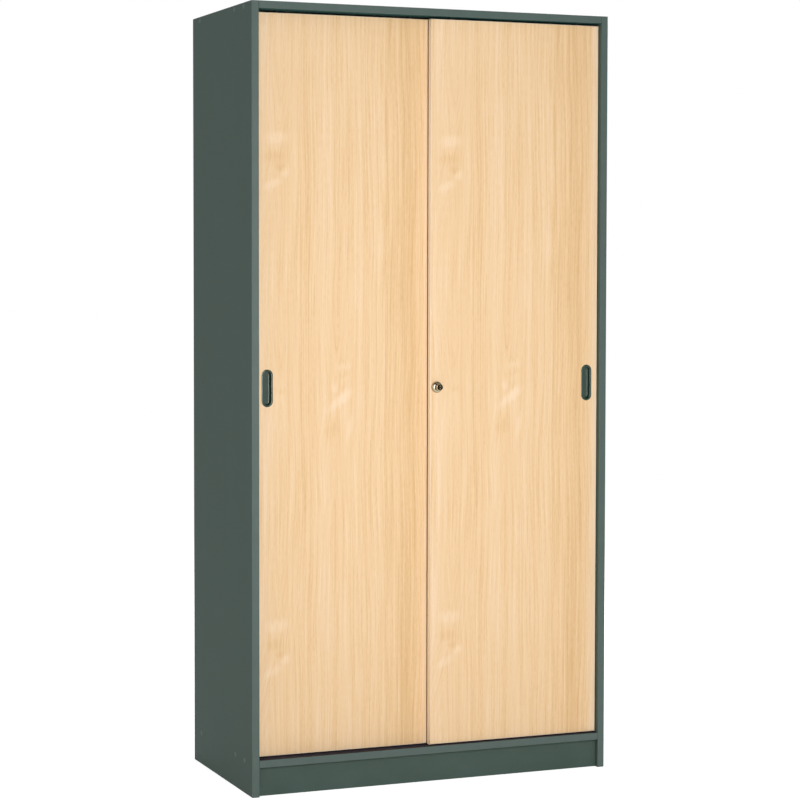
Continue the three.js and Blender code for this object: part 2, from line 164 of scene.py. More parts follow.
def seen_directly(tree):
    """1 for the rays that look at something, by eye, in a mirror or through glass, and 0 for light."""
    path = add_node(tree, "ShaderNodeLightPath")
    seen = path.outputs["Is Camera Ray"]
    for ray in ("Is Glossy Ray", "Is Transmission Ray"):
        seen = add_node(tree, "ShaderNodeMath", [seen, path.outputs[ray]], operation="MAXIMUM")
    return seen


world = bpy.data.worlds.new("white_studio")
world.use_nodes = True
sky = world.node_tree
sky.nodes.clear()
soft_sky = add_node(sky, "ShaderNodeBackground", [WHITE, SKY_LIGHT])
direction = add_node(sky, "ShaderNodeTexCoord").outputs["Generated"]
height = add_node(sky, "ShaderNodeSeparateXYZ", [direction]).outputs["Z"]
ceiling = add_node(sky, "ShaderNodeMapRange",
                   {"Value": height, "From Min": CEILING_START, "From Max": CEILING_FULL,
                    "To Min": 1, "To Max": CEILING_IN_MIRROR})
eye = add_node(sky, "ShaderNodeLightPath").outputs["Is Camera Ray"]
brightness = add_node(sky, "ShaderNodeMath", [ceiling, eye], operation="MAXIMUM")
white_sky = add_node(sky, "ShaderNodeBackground", [WHITE, brightness])
either_sky = add_node(sky, "ShaderNodeMixShader", [seen_directly(sky), soft_sky, white_sky])
add_node(sky, "ShaderNodeOutputWorld", [either_sky])
studio.world = world

for name, (place, target, width, tallness, power) in lamps.items():
    light = bpy.data.lights.new(name, "AREA")
    light.shape = "RECTANGLE"
    light.size = width
    light.size_y = tallness
    light.energy = power
    lamp = add_object(name, light)
    lamp.location = place
    lamp.rotation_euler = (Vector(target) - Vector(place)).to_track_quat("-Z", "Y").to_euler()
print(len(lamps), "lamps and a sky of", SKY_LIGHT)

# %% [markdown]
# ## The floor
# Its matt white paint keeps the cupboard's soft shadow. A glow that lights nothing, seen by eye and in
# mirrors alone, lifts the paint to the white of the background.

# %% Lay the floor
FLOOR_SIZE = 14
FLOOR_TONE = 0.75
FLOOR_LIFT = 0.72
half = FLOOR_SIZE / 2
corners = [(-half, -half, 0), (half, -half, 0), (half, half, 0), (-half, half, 0)]
floor_mesh = bpy.data.meshes.new("studio_floor")
floor_mesh.from_pydata(corners, [], [range(4)])
floor = add_object("studio_floor", floor_mesh)

paint, coat = new_material("white_floor_paint")
matt_white = add_node(coat, "ShaderNodeBsdfDiffuse", [(FLOOR_TONE, FLOOR_TONE, FLOOR_TONE, 1)])
lift = add_node(coat, "ShaderNodeMath", [seen_directly(coat), FLOOR_LIFT], operation="MULTIPLY")
glow = add_node(coat, "ShaderNodeEmission", {"Strength": lift})
both = add_node(coat, "ShaderNodeAddShader", [matt_white, glow])
add_node(coat, "ShaderNodeOutputMaterial", [both])
floor_mesh.materials.append(paint)
print("the floor is", FLOOR_SIZE, "m wide")

# %% [markdown]
# ## Melamine-faced board
# The carcass is chipboard with a sheet of melamine resin pressed on both faces. The press plate leaves a
# fine pearl grain in the resin, about a millimetre from bump to bump: too fine to see as a pattern, but
# it breaks every reflection into a soft sheen. The printed paper under the resin isn't quite even either,
# so a faint cloud in the colour, with fine specks in it, keeps a two metre panel from looking like a flat
# fill. Nearly every finish here has such clouds, in colour and in roughness, so one function makes them.
# The Mix node keeps sockets for numbers and for colours side by side under the same names, so it is linked
# by socket numbers, which get names of their own.

# %% Make the board finish
MIX_FACTOR = 0
COLOUR_A, COLOUR_B, COLOUR_RESULT = 6, 7, 2


def clouded_material(name, colours, gloss, cloud_mm, grain=None, ior=1.5, shine=0.5, metallic=0,
                     cloud_detail=3, speck_mm=None):
    """A finish that drifts between two colours and two roughnesses, in clouds of a size.

    Its grain is the size of the bumps in millimetres, their detail, their strength and their depth.
    """
    material, tree = new_material(name)
    place = add_node(tree, "ShaderNodeTexCoord").outputs["Object"]
    tone = add_node(tree, "ShaderNodeTexNoise",
                    {"Vector": place, "Scale": 1000 / cloud_mm, "Detail": cloud_detail})
    if speck_mm:
        speck = add_node(tree, "ShaderNodeTexNoise", {"Vector": place, "Scale": 1000 / speck_mm, "Detail": 2})
        speck = add_node(tree, "ShaderNodeMath", [speck, 0.5, -0.25], operation="MULTIPLY_ADD")
        tone = add_node(tree, "ShaderNodeMath", [tone, speck], operation="ADD")
    ends = {COLOUR_A: linear(colours[0]), COLOUR_B: linear(colours[1])}
    colour = add_node(tree, "ShaderNodeMix", {MIX_FACTOR: tone, **ends}, data_type="RGBA")
    sheen = add_node(tree, "ShaderNodeMapRange", {"Value": tone, "To Min": gloss[0], "To Max": gloss[1]})
    inputs = {"Base Color": colour.outputs[COLOUR_RESULT], "Roughness": sheen, "Metallic": metallic,
              "IOR": ior, "Specular IOR Level": shine}
    if grain:
        size_mm, detail, strength, depth_mm = grain
        bumps = add_node(tree, "ShaderNodeTexNoise",
                         {"Vector": place, "Scale": 1000 / size_mm, "Detail": detail})
        inputs["Normal"] = add_node(tree, "ShaderNodeBump",
                                    {"Strength": strength, "Distance": depth_mm * MM, "Height": bumps})
    end_material(tree, inputs)
    return material


board_finish = clouded_material("melamine_faced_board", ("#4a5a52", "#53645e"), (0.52, 0.64), 90,
                                (1.1, 1, 0.35, 0.05), shine=0.05, speck_mm=2.2)
print(board_finish.name, "has", len(board_finish.node_tree.nodes), "nodes")

# %% [markdown]
# ## Edging and raw chipboard
# The cut edges are closed with a strip of ABS plastic, two millimetres thick. It is dyed to match the
# board, but it is smoother and so catches more light than the pearl grain beside it. Holes and grooves
# are cut after the board is faced, so their walls show the raw core: chips of wood pressed with glue. A
# Voronoi pattern gives the chips, because each of its cells can have a tone of its own.

# %% Make the edging and the raw core
CHIP = in_mm(size=2.5, relief=0.3)
edging_finish = clouded_material("abs_edging", ("#4d5d58", "#546560"), (0.3, 0.42), 40,
                                 (3, 1, 0.2, 0.05), ior=1.53, shine=0.3)

raw_finish, core = new_material("raw_chipboard")
place = add_node(core, "ShaderNodeTexCoord").outputs["Object"]
chips = add_node(core, "ShaderNodeTexVoronoi", {"Vector": place, "Scale": 1 / CHIP.size})
tone = add_node(core, "ShaderNodeSeparateColor", [chips.outputs["Color"]])
ends = {COLOUR_A: linear("#8a6a45"), COLOUR_B: linear("#cdb084")}
colour = add_node(core, "ShaderNodeMix", {MIX_FACTOR: tone, **ends}, data_type="RGBA")
relief = add_node(core, "ShaderNodeBump", {"Distance": CHIP.relief, "Height": chips.outputs["Distance"]})
end_material(core, {"Base Color": colour.outputs[COLOUR_RESULT], "Roughness": 0.9,
                    "Specular IOR Level": 0.2, "Normal": relief})
print("a board shows", edging_finish.name, "at its edge and", raw_finish.name, "in its holes")

# %% [markdown]
# ## Printed beech
# The doors are chipboard too, but their melamine carries a print of light beech. Both doors are cut from
# the same roll, so both show the same figure at the same distance from their left edge. The print is flat,
# so it reads a UV map in metres: across the door from its left edge, and up from the floor.
#
# A saw that cuts a tree lengthwise shows its growth rings as fine, nearly straight streaks, with the short
# flecks of the wood's rays between them. Where the rings dip away from the cut, they close into a flame:
# pointed arches, nested in each other, that meet tip to tip. Pale and tan strokes stand for the places
# where the cut runs along a ring.

# %% Values of the beech print
PRINT_WIDTH = 0.486
PRINT_REPEAT = 1.247
WANDER = 0.012
FLAME_WIDTH = 0.075
FLAME_CORE = 0.35
FLAME_HOLD = 0.62
ARCH_TIP = 4 * MM
RING_SLANT = 0.3
FRAY = 24 * MM
STROKE_CORE, STROKE_EDGE = 0.2, 1.3
# Flames: distance from the left edge, height, reach up and down, greatest depth of the rings, lean.
flames = [
    (0.055, 1.630, 0.36, 0.040, 0.08),
    (0.221, 1.000, 0.42, 0.034, 0.03),
    (0.065, 1.050, 0.30, 0.020, 0.0),
]
# Strokes: distance from the left edge, height, half length, half thickness, tilt in degrees, strength.
strokes = [
    (0.058, 1.677, 0.036, 0.019, 4, 0.3),
    (0.050, 1.630, 0.034, 0.018, 0, -0.18),
    (0.066, 1.603, 0.016, 0.012, 0, -0.2),
    (0.080, 1.590, 0.016, 0.013, 30, 0.29),
    (0.046, 1.560, 0.032, 0.013, 24, 0.26),
    (0.238, 1.110, 0.018, 0.009, 10, -0.14),
    (0.238, 1.093, 0.024, 0.009, 15, 0.16),
    (0.245, 1.073, 0.021, 0.009, 25, -0.16),
    (0.215, 1.040, 0.012, 0.014, 0, 0.18),
    (0.238, 1.040, 0.015, 0.010, 20, -0.13),
    (0.228, 1.005, 0.052, 0.014, 38, 0.36),
    (0.208, 0.933, 0.040, 0.020, 75, -0.2),
    (0.256, 0.933, 0.040, 0.010, 80, 0.24),
    (0.071, 1.033, 0.016, 0.010, 0, -0.14),
]
# The figures of the upper part come again one repeat further down.
flames += [(u, v - PRINT_REPEAT, *rest) for u, v, *rest in flames if v > PRINT_REPEAT]
strokes += [(u, v - PRINT_REPEAT, *rest) for u, v, *rest in strokes if v > PRINT_REPEAT]
# Pale and darker bands, as shares of the print's width, with their tones.
bands = [
    (0.0, 0.68), (0.05, 0.66), (0.1, 0.56), (0.16, 0.5), (0.215, 0.56), (0.27, 0.44), (0.32, 0.5),
    (0.36, 0.62), (0.41, 0.62), (0.445, 0.44), (0.5, 0.6), (0.545, 0.52), (0.59, 0.62), (0.62, 0.46),
    (0.68, 0.57), (0.722, 0.56), (0.73, 0.36), (0.8, 0.42), (0.85, 0.26), (0.895, 0.3), (0.94, 0.42),
    (1.0, 0.34),
]
# Streaks: width and length in millimetres, and strength. The last are the flecks.
streaks = [(26, 1100, 0.14), (9, 600, 0.58), (4, 300, 0.62), (1.8, 120, 0.6), (1.6, 18, 0.5)]
STREAK_DETAIL = 2
# The other noises: width and length in millimetres, and detail.
WANDER_CLOUDS, FIBRES, PORES = (130, 600, 1), (3, 60, 1), (0.8, 9, 2)
print("the print repeats every", PRINT_REPEAT, "m:", len(flames), "flames and", len(strokes), "strokes")

# %% [markdown]
# ## Streaks
# A streak is noise that is stretched along the wood. Streaks of one width look like cloth, so several
# widths are added up, from broad soft ones to fine hard ones.

# %% Helpers for streaks
def noise_along(tree, across, up, width_mm, length_mm, detail):
    """Noise in streaks of a width and a length."""
    place = add_node(tree, "ShaderNodeCombineXYZ", [across, up])
    cells = (1000 / width_mm, 1000 / length_mm, 0)
    place = add_node(tree, "ShaderNodeVectorMath", [place, cells], operation="MULTIPLY")
    return add_node(tree, "ShaderNodeTexNoise",
                    {"Vector": place, "Scale": 1, "Detail": detail, "Roughness": 0.55}, noise_dimensions="2D")


def streak_tone(tree, lines, up):
    """The tone of all streaks on a coordinate, around zero."""
    tone = 0.0
    for width_mm, length_mm, strength in streaks:
        noise = noise_along(tree, lines, up, width_mm, length_mm, STREAK_DETAIL)
        middle = add_node(tree, "ShaderNodeMath", [noise, 0.5], operation="SUBTRACT")
        tone = add_node(tree, "ShaderNodeMath", [middle, strength, tone], operation="MULTIPLY_ADD")
    return tone


print("the widest streak is", max(streaks)[0], "mm wide and the finest", min(streaks)[0], "mm")

# %% [markdown]
# ## Flames
# For a flame the shader works out how far each point is from the dipping ring's middle, across and in
# depth, and draws the streaks on that distance instead of the distance from the edge. So the same streaks
# bend into arches by themselves.

# %% Helpers for flames
NUMBER_A, NUMBER_B = 2, 3


def flame_rings(tree, lines, up, flame):
    """The ring coordinate in a flame, and its hold: full in its middle and 0 outside."""
    u, v, reach, depth, lean = flame
    away = add_node(tree, "ShaderNodeMath", [up, v], operation="SUBTRACT")
    axis = add_node(tree, "ShaderNodeMath", [away, lean, u], operation="MULTIPLY_ADD")
    side = add_node(tree, "ShaderNodeMath", [lines, axis], operation="SUBTRACT")
    distance = add_node(tree, "ShaderNodeMath", [away], operation="ABSOLUTE")
    dip = add_node(tree, "ShaderNodeMapRange",
                   {"Value": distance, "From Max": reach, "To Min": depth, "To Max": 0})
    arm = add_node(tree, "ShaderNodeCombineXYZ", [side, ARCH_TIP])
    arm = add_node(tree, "ShaderNodeVectorMath", [arm], operation="LENGTH").outputs["Value"]
    arch = add_node(tree, "ShaderNodeMath", [arm, dip], operation="ADD")
    rings = add_node(tree, "ShaderNodeMath", [side, RING_SLANT, arch], operation="MULTIPLY_ADD")
    spot = add_node(tree, "ShaderNodeCombineXYZ", [side, away])
    spot = add_node(tree, "ShaderNodeVectorMath", [spot, (FLAME_WIDTH, reach, 1)], operation="DIVIDE")
    spot = add_node(tree, "ShaderNodeVectorMath", [spot], operation="LENGTH").outputs["Value"]
    hold = add_node(tree, "ShaderNodeMapRange",
                    {"Value": spot, "From Min": FLAME_CORE, "From Max": 1, "To Min": FLAME_HOLD, "To Max": 0},
                    interpolation_type="SMOOTHSTEP")
    return rings, hold


def add_flames(tree, lines, up):
    """The streaks' tone, with the flames' rings where a flame holds."""
    rings, hold = lines, 0.0
    for flame in flames:
        own_rings, own_hold = flame_rings(tree, lines, up, flame)
        inside = add_node(tree, "ShaderNodeMath", [own_hold, 0.0], operation="GREATER_THAN")
        rings = add_node(tree, "ShaderNodeMix", {MIX_FACTOR: inside, NUMBER_A: rings, NUMBER_B: own_rings})
        hold = add_node(tree, "ShaderNodeMath", [own_hold, hold], operation="MAXIMUM")
    tones = {NUMBER_A: streak_tone(tree, lines, up), NUMBER_B: streak_tone(tree, rings, up)}
    return add_node(tree, "ShaderNodeMix", {MIX_FACTOR: hold, **tones})


print("a flame reaches at most", max(reach for u, v, reach, depth, lean in flames), "m up and down")

# %% [markdown]
# ## Strokes
# A stroke is a soft ellipse at a tilt. Noise along the fibres shifts it up and down, so its ends fray.

# %% Helper for strokes
def add_strokes(tree, tone, across, up):
    """Adds the pale and tan strokes, whose edges the fibres fray."""
    fray = noise_along(tree, across, up, *FIBRES)
    frayed_up = add_node(tree, "ShaderNodeMath", [fray, FRAY, up], operation="MULTIPLY_ADD")
    frayed_up = add_node(tree, "ShaderNodeMath", [frayed_up, FRAY / 2], operation="SUBTRACT")
    place = add_node(tree, "ShaderNodeCombineXYZ", [across, frayed_up])
    for u, v, half_length, half_thickness, tilt, strength in strokes:
        local = add_node(tree, "ShaderNodeMapping",
                         {"Vector": place, "Location": (u, v, 0), "Rotation": (0, 0, math.radians(tilt)),
                          "Scale": (half_length, half_thickness, 1)}, vector_type="TEXTURE")
        spot = add_node(tree, "ShaderNodeVectorMath", [local], operation="LENGTH").outputs["Value"]
        stroke = add_node(tree, "ShaderNodeMapRange",
                          {"Value": spot, "From Min": STROKE_CORE, "From Max": STROKE_EDGE,
                           "To Min": strength, "To Max": 0}, interpolation_type="SMOOTHSTEP")
        tone = add_node(tree, "ShaderNodeMath", [tone, stroke], operation="ADD")
    return tone


print("the fibres fray a stroke by", FRAY, "m")

# %% [markdown]
# ## The whole print
# Bands, streaks, flames and strokes add up to one tone. A ramp of three colours turns it into wood, and it
# sets the gloss too: where the print is paler, the sheen is duller. Fine pores give the relief. The doors'
# edging is a paler print of the same wood, too narrow for any figure, so it has the streaks alone. Its
# paler colours are painted light: they lift the edges, which face sideways and catch less light, to the
# brightness of the faces.

# %% Make the beech prints
def printed_beech(name, colours, figured):
    """The beech print in three colours, from dark to pale. Board is figured, and edging has streaks alone."""
    material, tree = new_material(name)
    print_map = add_node(tree, "ShaderNodeUVMap", uv_map="print")
    across, up = add_node(tree, "ShaderNodeSeparateXYZ", [print_map]).outputs[:2]
    wander = noise_along(tree, across, up, *WANDER_CLOUDS)
    wander = add_node(tree, "ShaderNodeMapRange", {"Value": wander, "To Min": -WANDER, "To Max": WANDER})
    lines = add_node(tree, "ShaderNodeMath", [wander, across], operation="ADD")

    if figured:
        share = add_node(tree, "ShaderNodeMath", [across, PRINT_WIDTH], operation="DIVIDE")
        banded = add_node(tree, "ShaderNodeValToRGB", [share])
        stops = banded.color_ramp.elements
        for position, tone in bands:
            stop = stops.new(position) if position > 0 else stops[0]
            stop.position = position
            stop.color = (tone, tone, tone, 1)
        tone = add_node(tree, "ShaderNodeMath", [banded, add_flames(tree, lines, up)], operation="ADD")
        tone = add_strokes(tree, tone, across, up)
    else:
        tone = add_node(tree, "ShaderNodeMath", [streak_tone(tree, lines, up), 0.5], operation="ADD")

    ramp = add_node(tree, "ShaderNodeValToRGB", [tone])
    ramp.color_ramp.elements.new(0.5)
    for stop, colour in zip(ramp.color_ramp.elements, colours):
        stop.color = linear(colour)
    sheen = add_node(tree, "ShaderNodeMapRange", {"Value": tone, "To Min": 0.5, "To Max": 0.62})
    pores = noise_along(tree, across, up, *PORES)
    relief = add_node(tree, "ShaderNodeBump", {"Strength": 0.3, "Distance": 0.05 * MM, "Height": pores})
    end_material(tree, {"IOR": 1.5, "Specular IOR Level": 0.12, "Base Color": ramp, "Roughness": sheen,
                        "Normal": relief})
    return material


beech_finish = printed_beech("printed_beech_melamine", ("#e4ba84", "#f5d1a3", "#fee2c1"), True)
# The edging's paler print is painted light, for edges that face sideways and catch less light.
beech_edging_painted_light_finish = printed_beech("printed_beech_edging_painted_lighter", ("#f6dab2", "#fde6c8", "#fff0dc"), False)
print("the print has", len(beech_finish.node_tree.nodes), "nodes")

# %% [markdown]
# ## Plastics and metals
# The small parts are moulded, drawn or turned. Moulded ABS takes its surface from a spark-eroded steel
# mould, which gives it a fine even grain: the pulls are polished, and the drawn tracks are dull with dust
# and wear. The upper track is lighter and greener than the lower one: painted light, for the light that
# reaches under the top board. The running parts are black nylon, so that they don't show in the gaps
# above and below the doors. The lock is die-cast zinc with a nickel plate: nickel is a warm grey metal,
# and the polish under it leaves soft cloudy differences in gloss. Here the nickel is set darker than bare
# nickel, a painted reflection of a darker studio. Its face and key plug are nearly black. The shelf pins
# and screws are zinc-plated steel, which is bluer and duller. The dust seal is a strip of brown nylon pile,
# which has no shine; its dark brown is painted shade, the shade in the gap between the doors.

# %% Make the plastics and metals
def moulded_plastic(name, colours, grain_mm, gloss, ior=1.53, shine=0.5):
    """A plastic with an even grain of a size."""
    return clouded_material(name, colours, gloss, cloud_mm=12, grain=(grain_mm, 2, 0.3, 0.04),
                            ior=ior, shine=shine)


def plated_metal(name, colours, polish_mm, gloss):
    """A plated metal, whose polish leaves soft clouds in its gloss."""
    return clouded_material(name, colours, gloss, polish_mm, metallic=1, cloud_detail=4)


pull_finish = moulded_plastic("moulded_abs_pull", ("#203a2c", "#284335"), 0.6, (0.16, 0.26))
track_finishes = {
    "bottom": moulded_plastic("extruded_black_abs", ("#2e2930", "#38323b"), 1.5, (0.6, 0.7), shine=0.05),
    # The upper track is lighter and greener than the lower one: painted light under the top board.
    "top": moulded_plastic("extruded_abs_painted_lighter", ("#264846", "#2f514d"), 1.5, (0.6, 0.7), shine=0.05),
}
cap_finish = moulded_plastic("moulded_cap_plastic", ("#54655a", "#5b6c63"), 0.8, (0.5, 0.6), 1.5, 0.15)
housing_finish = moulded_plastic("moulded_black_plastic", ("#17181a", "#202224"), 0.7, (0.4, 0.5), 1.5)
# The seal's dark brown pile is painted shade: the dark line in the gap between the doors.
shade_line_pile_finish = moulded_plastic("pile_painted_shade", ("#6b400c", "#7a4c14"), 0.6, (0.8, 0.9), 1.5, 0.1)
nylon_finish = moulded_plastic("black_nylon", ("#1d1e20", "#27282a"), 1.2, (0.35, 0.45))
# The nickel is set darker than bare nickel: a painted reflection of a darker studio.
nickel_painted_darker_finish = plated_metal("nickel_plated_zinc_painted_darker", ("#a39b85", "#b8b09a"), 4, (0.07, 0.15))
# Nearly black metal for the faces of the lock that point to the front, and for its key plug.
dark_finish = plated_metal("nearly_black_metal", ("#1f1a0e", "#2b2516"), 3, (0.14, 0.24))
steel_finish = plated_metal("zinc_plated_steel", ("#9da1a6", "#b0b4b8"), 3, (0.3, 0.42))
print("the finishes:", sorted(material.name for material in bpy.data.materials))

# %% [markdown]
# ## Pieces
# A piece is a mesh under a name, with its finish. It is also tied to the frame: it rides on a body and
# stands for the solids that it replaces. That is how it moves as they do.

# %% Helpers for pieces
def add_piece(name, mesh, *materials):
    """Puts a mesh into the scene under a name, with its materials."""
    mesh.name = name
    for material in materials:
        mesh.materials.append(material)
    return add_object(name, mesh)


def dress(piece, body, slot, *nodes):
    """Lets a piece ride on a body and stand for its solids. Its slot is not used."""
    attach(piece, body)
    if nodes:
        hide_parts(*nodes)
    print(f"{piece.name}: {len(piece.data.polygons)} faces on {body}")


# %% [markdown]
# ## Boards
# A sawn board is a box, but no real edge is perfectly sharp: even a quarter of a millimetre of rounding
# catches a line of light. So each board is a box with bevelled edges, built at its place from the two
# corners of its solid.

# %% Helpers for boards
HAIRLINE = 0.25 * MM


def mesh_of(shape):
    """Turns a bmesh into a mesh with all its faces pointing outwards."""
    bmesh.ops.recalc_face_normals(shape, faces=shape.faces[:])
    mesh = bpy.data.meshes.new("shape")
    shape.to_mesh(mesh)
    shape.free()
    return mesh


def box_shape(box):
    low, high = box
    shape = bmesh.new()
    bmesh.ops.create_cube(shape, size=1)
    bmesh.ops.scale(shape, vec=high - low, verts=shape.verts)
    bmesh.ops.translate(shape, vec=(low + high) / 2, verts=shape.verts)
    return shape


def round_edges(shape, edges, radius, steps):
    rounds = bmesh.ops.bevel(shape, geom=edges, offset=radius, segments=steps, profile=0.5, affect="EDGES")
    for face in rounds["faces"]:
        face.smooth = True


def board_mesh(box, radius=HAIRLINE, steps=2):
    """A board with all its edges rounded."""
    shape = box_shape(box)
    round_edges(shape, shape.edges[:], radius, steps)
    return mesh_of(shape)


print("a board's edges are rounded by", HAIRLINE, "m")

# %% [markdown]
# ## Strips and cut-outs
# An edging strip is rounded on its outward side alone, because its other side is glued to the board. So its
# helper looks for the long edges on that side. Strips and cut-outs take their boxes from the solids, with
# some ends moved or with a little air all round.

# %% Helpers for strips and cut-outs
SEAT_GAP = 0.3 * MM
STRIP_STEPS = 4


def strip_mesh(box, outward, radius):
    """An edging strip: its two long edges on the outward side are rounded."""
    low, high = box
    size = high - low
    middle = (low + high) / 2
    long_axis = max(range(3), key=lambda axis: size[axis])
    shape = box_shape(box)
    outer_edges = []
    for edge in shape.edges:
        start, end = edge.verts[0].co, edge.verts[1].co
        is_long = abs(end[long_axis] - start[long_axis]) > size[long_axis] / 2
        if is_long and ((start + end) / 2 - middle).dot(Vector(outward)) > 0:
            outer_edges.append(edge)
    round_edges(shape, outer_edges, radius, STRIP_STEPS)
    return mesh_of(shape)


def reshaped(box, **ends):
    """A copy of a box with some ends moved, such as low_x or high_z."""
    low, high = box[0].copy(), box[1].copy()
    for end, value in ends.items():
        corner, axis = end.split("_")
        setattr(low if corner == "low" else high, axis, value)
    return low, high


def with_air(box):
    """A box with the seat gap all round."""
    air = Vector((SEAT_GAP, SEAT_GAP, SEAT_GAP))
    return box[0] - air, box[1] + air


print("what is let in has", SEAT_GAP, "m of air round it")

# %% [markdown]
# ## Cutting tools
# A joiner faces and edges a board first, and then grooves and drills it. A Boolean modifier does the same:
# it takes the tool's shape out of the board, and the walls of the cut get the tool's own material. That is
# how every hole here shows raw chipboard. The result is kept as a plain mesh.

# %% Helpers that cut
def keep_result(piece):
    """Turns a piece with modifiers into the plain mesh that they give."""
    bpy.context.view_layer.update()
    graph = bpy.context.evaluated_depsgraph_get()
    mesh = bpy.data.meshes.new_from_object(piece.evaluated_get(graph), depsgraph=graph)
    piece.modifiers.clear()
    piece.data = mesh


def carve(piece, tool):
    """Takes the shape of a tool out of a piece. The tool stays, for other pieces."""
    cut = piece.modifiers.new("cut", "BOOLEAN")
    cut.operation = "DIFFERENCE"
    cut.solver = "EXACT"
    cut.material_mode = "TRANSFER"
    cut.object = tool
    keep_result(piece)


def remove_pieces(*pieces):
    for piece in pieces:
        bpy.data.objects.remove(piece)


def add_tool(mesh, finish=raw_finish):
    return add_piece("tool", mesh, finish)


def box_tool(box, finish=raw_finish):
    return add_tool(mesh_of(box_shape(box)), finish)


print("a cut shows", raw_finish.name)

# %% [markdown]
# ## Outlines
# Knobs, pins and wheels are turned: a profile goes round an axis. Tracks are drawn: a section goes along a
# line. Both start from a flat outline whose corners are rounded with true arcs, so each corner is given as
# a place and a radius. A plain shaft with shoulders, such as a drill, needs no rounding: it is given by
# where it starts, and by each step's radius and end.

# %% Helpers for outlines
def rounded(corners, closed=False, steps=5):
    """An outline through corners of (x, y, radius), each rounded with an arc of its radius."""
    outline = []
    last = len(corners) - 1
    for index, (x, y, radius) in enumerate(corners):
        corner = Vector((x, y))
        if radius == 0 or (not closed and index in (0, last)):
            outline.append(corner)
            continue
        back = (Vector(corners[index - 1][:2]) - corner).normalized()
        ahead = (Vector(corners[0 if index == last else index + 1][:2]) - corner).normalized()
        half_angle = back.angle(ahead) / 2
        centre = corner + (back + ahead).normalized() * radius / math.sin(half_angle)
        start = corner + back * radius / math.tan(half_angle) - centre
        end = corner + ahead * radius / math.tan(half_angle) - centre
        sweep = start.angle(end)
        for step in range(steps + 1):
            share = step / steps
            arm = start * math.sin((1 - share) * sweep) + end * math.sin(share * sweep)
            outline.append(centre + arm / math.sin(sweep))
    return outline


def shaft(start, *steps):
    """The profile of a plain shaft: where it starts, and then each step's radius and end."""
    profile = [(0, start)]
    for radius, end in steps:
        profile += [(radius, profile[-1][1]), (radius, end)]
    return profile + [(0, profile[-1][1])]


print("a drill with one shoulder has", len(shaft(0, (2 * MM, MM), (MM, 9 * MM))), "corners in its profile")

# %% [markdown]
# ## Skins over rings
# Turned and drawn shapes are the same kind of mesh: rings of points, with a skin over them. So one function
# makes both, which a Screw modifier couldn't. It merges the points that fall together on an axis, and keeps
# an edge sharp where the skin turns by more than an angle.

# %% Helpers for turned and drawn shapes
SMOOTH_ANGLE = math.radians(35)
SAME_PLACE = 0.001 * MM
TOWARDS_DOOR_FRONT = Matrix.Rotation(math.radians(90), 4, "X")
SMALL_TURN, TURN, FINE_TURN = 32, 64, 96


def skin_mesh(rings, closed=False):
    """A skin over rings of points. Its two ends are filled, or joined where it closes on itself."""
    count = len(rings[0])
    points = [point for ring in rings for point in ring]
    rows = len(rings) if closed else len(rings) - 1
    faces = []
    for row in range(rows):
        here, above = row * count, (row + 1) % len(rings) * count
        for step in range(count):
            after = (step + 1) % count
            faces.append((here + step, here + after, above + after, above + step))
    if not closed:
        faces.append(tuple(reversed(range(count))))
        faces.append(tuple(range(len(points) - count, len(points))))
    mesh = bpy.data.meshes.new("skin")
    mesh.from_pydata(points, [], faces)
    shape = bmesh.new()
    shape.from_mesh(mesh)
    bmesh.ops.remove_doubles(shape, verts=shape.verts, dist=SAME_PLACE)
    bpy.data.meshes.remove(mesh)
    mesh = mesh_of(shape)
    mesh.shade_smooth()
    mesh.set_sharp_from_angle(angle=SMOOTH_ANGLE)
    return mesh


def turned_mesh(profile, place=Matrix.Identity(4), steps=TURN, closed=False):
    """A profile of (radius, height) turned round Z and then set at its place."""
    angles = [2 * math.pi * step / steps for step in range(steps)]
    mesh = skin_mesh([[(radius * math.cos(angle), radius * math.sin(angle), height) for angle in angles]
                      for radius, height in profile], closed)
    mesh.transform(place)
    return mesh


def drawn_mesh(outline, low, high):
    """An outline of (x, y) drawn up from one height to another."""
    return skin_mesh([[(x, y, z) for x, y in outline] for z in (low, high)])


def front_place(x, y, z):
    """The place from which a turned shape points out of the front of a door."""
    return Matrix.Translation((x, y, z)) @ TOWARDS_DOOR_FRONT


print("turned shapes have", SMALL_TURN, "to", FINE_TURN, "points round")

# %% [markdown]
# ## Geometry Nodes as a jig
# A factory sets out its holes and fittings with a jig, so they repeat exactly. Geometry Nodes are the jig
# here. Both trees begin with their inputs and end with real geometry in a finish, so two helpers make
# these ends.

# %% Helpers for the trees
def new_tree(name, **inputs):
    """A Geometry Nodes tree, its geometry and its other inputs, and a geometry output."""
    tree = bpy.data.node_groups.new(name, "GeometryNodeTree")
    tree.interface.new_socket("Geometry", in_out="OUTPUT", socket_type="NodeSocketGeometry")
    for input_name, kind in {"Geometry": "Geometry", **inputs}.items():
        tree.interface.new_socket(input_name, in_out="INPUT", socket_type=f"NodeSocket{kind}")
    return tree, *add_node(tree, "NodeGroupInput").outputs[:len(inputs) + 1]


def end_tree(tree, instances, finish):
    """Ends a tree: its instances become real, and take their finish."""
    real = add_node(tree, "GeometryNodeRealizeInstances", [instances])
    finished = add_node(tree, "GeometryNodeSetMaterial", {"Geometry": real, "Material": finish})
    add_node(tree, "NodeGroupOutput", [finished])
    return tree


print("node trees before the jig:", len(bpy.data.node_groups))

# %% [markdown]
# ## A jig for columns of holes
# The first tree takes one point for each column, puts a line of points on it, and a drill on each of them.

# %% Build the tree for holes
DRILL_SIDES = 24


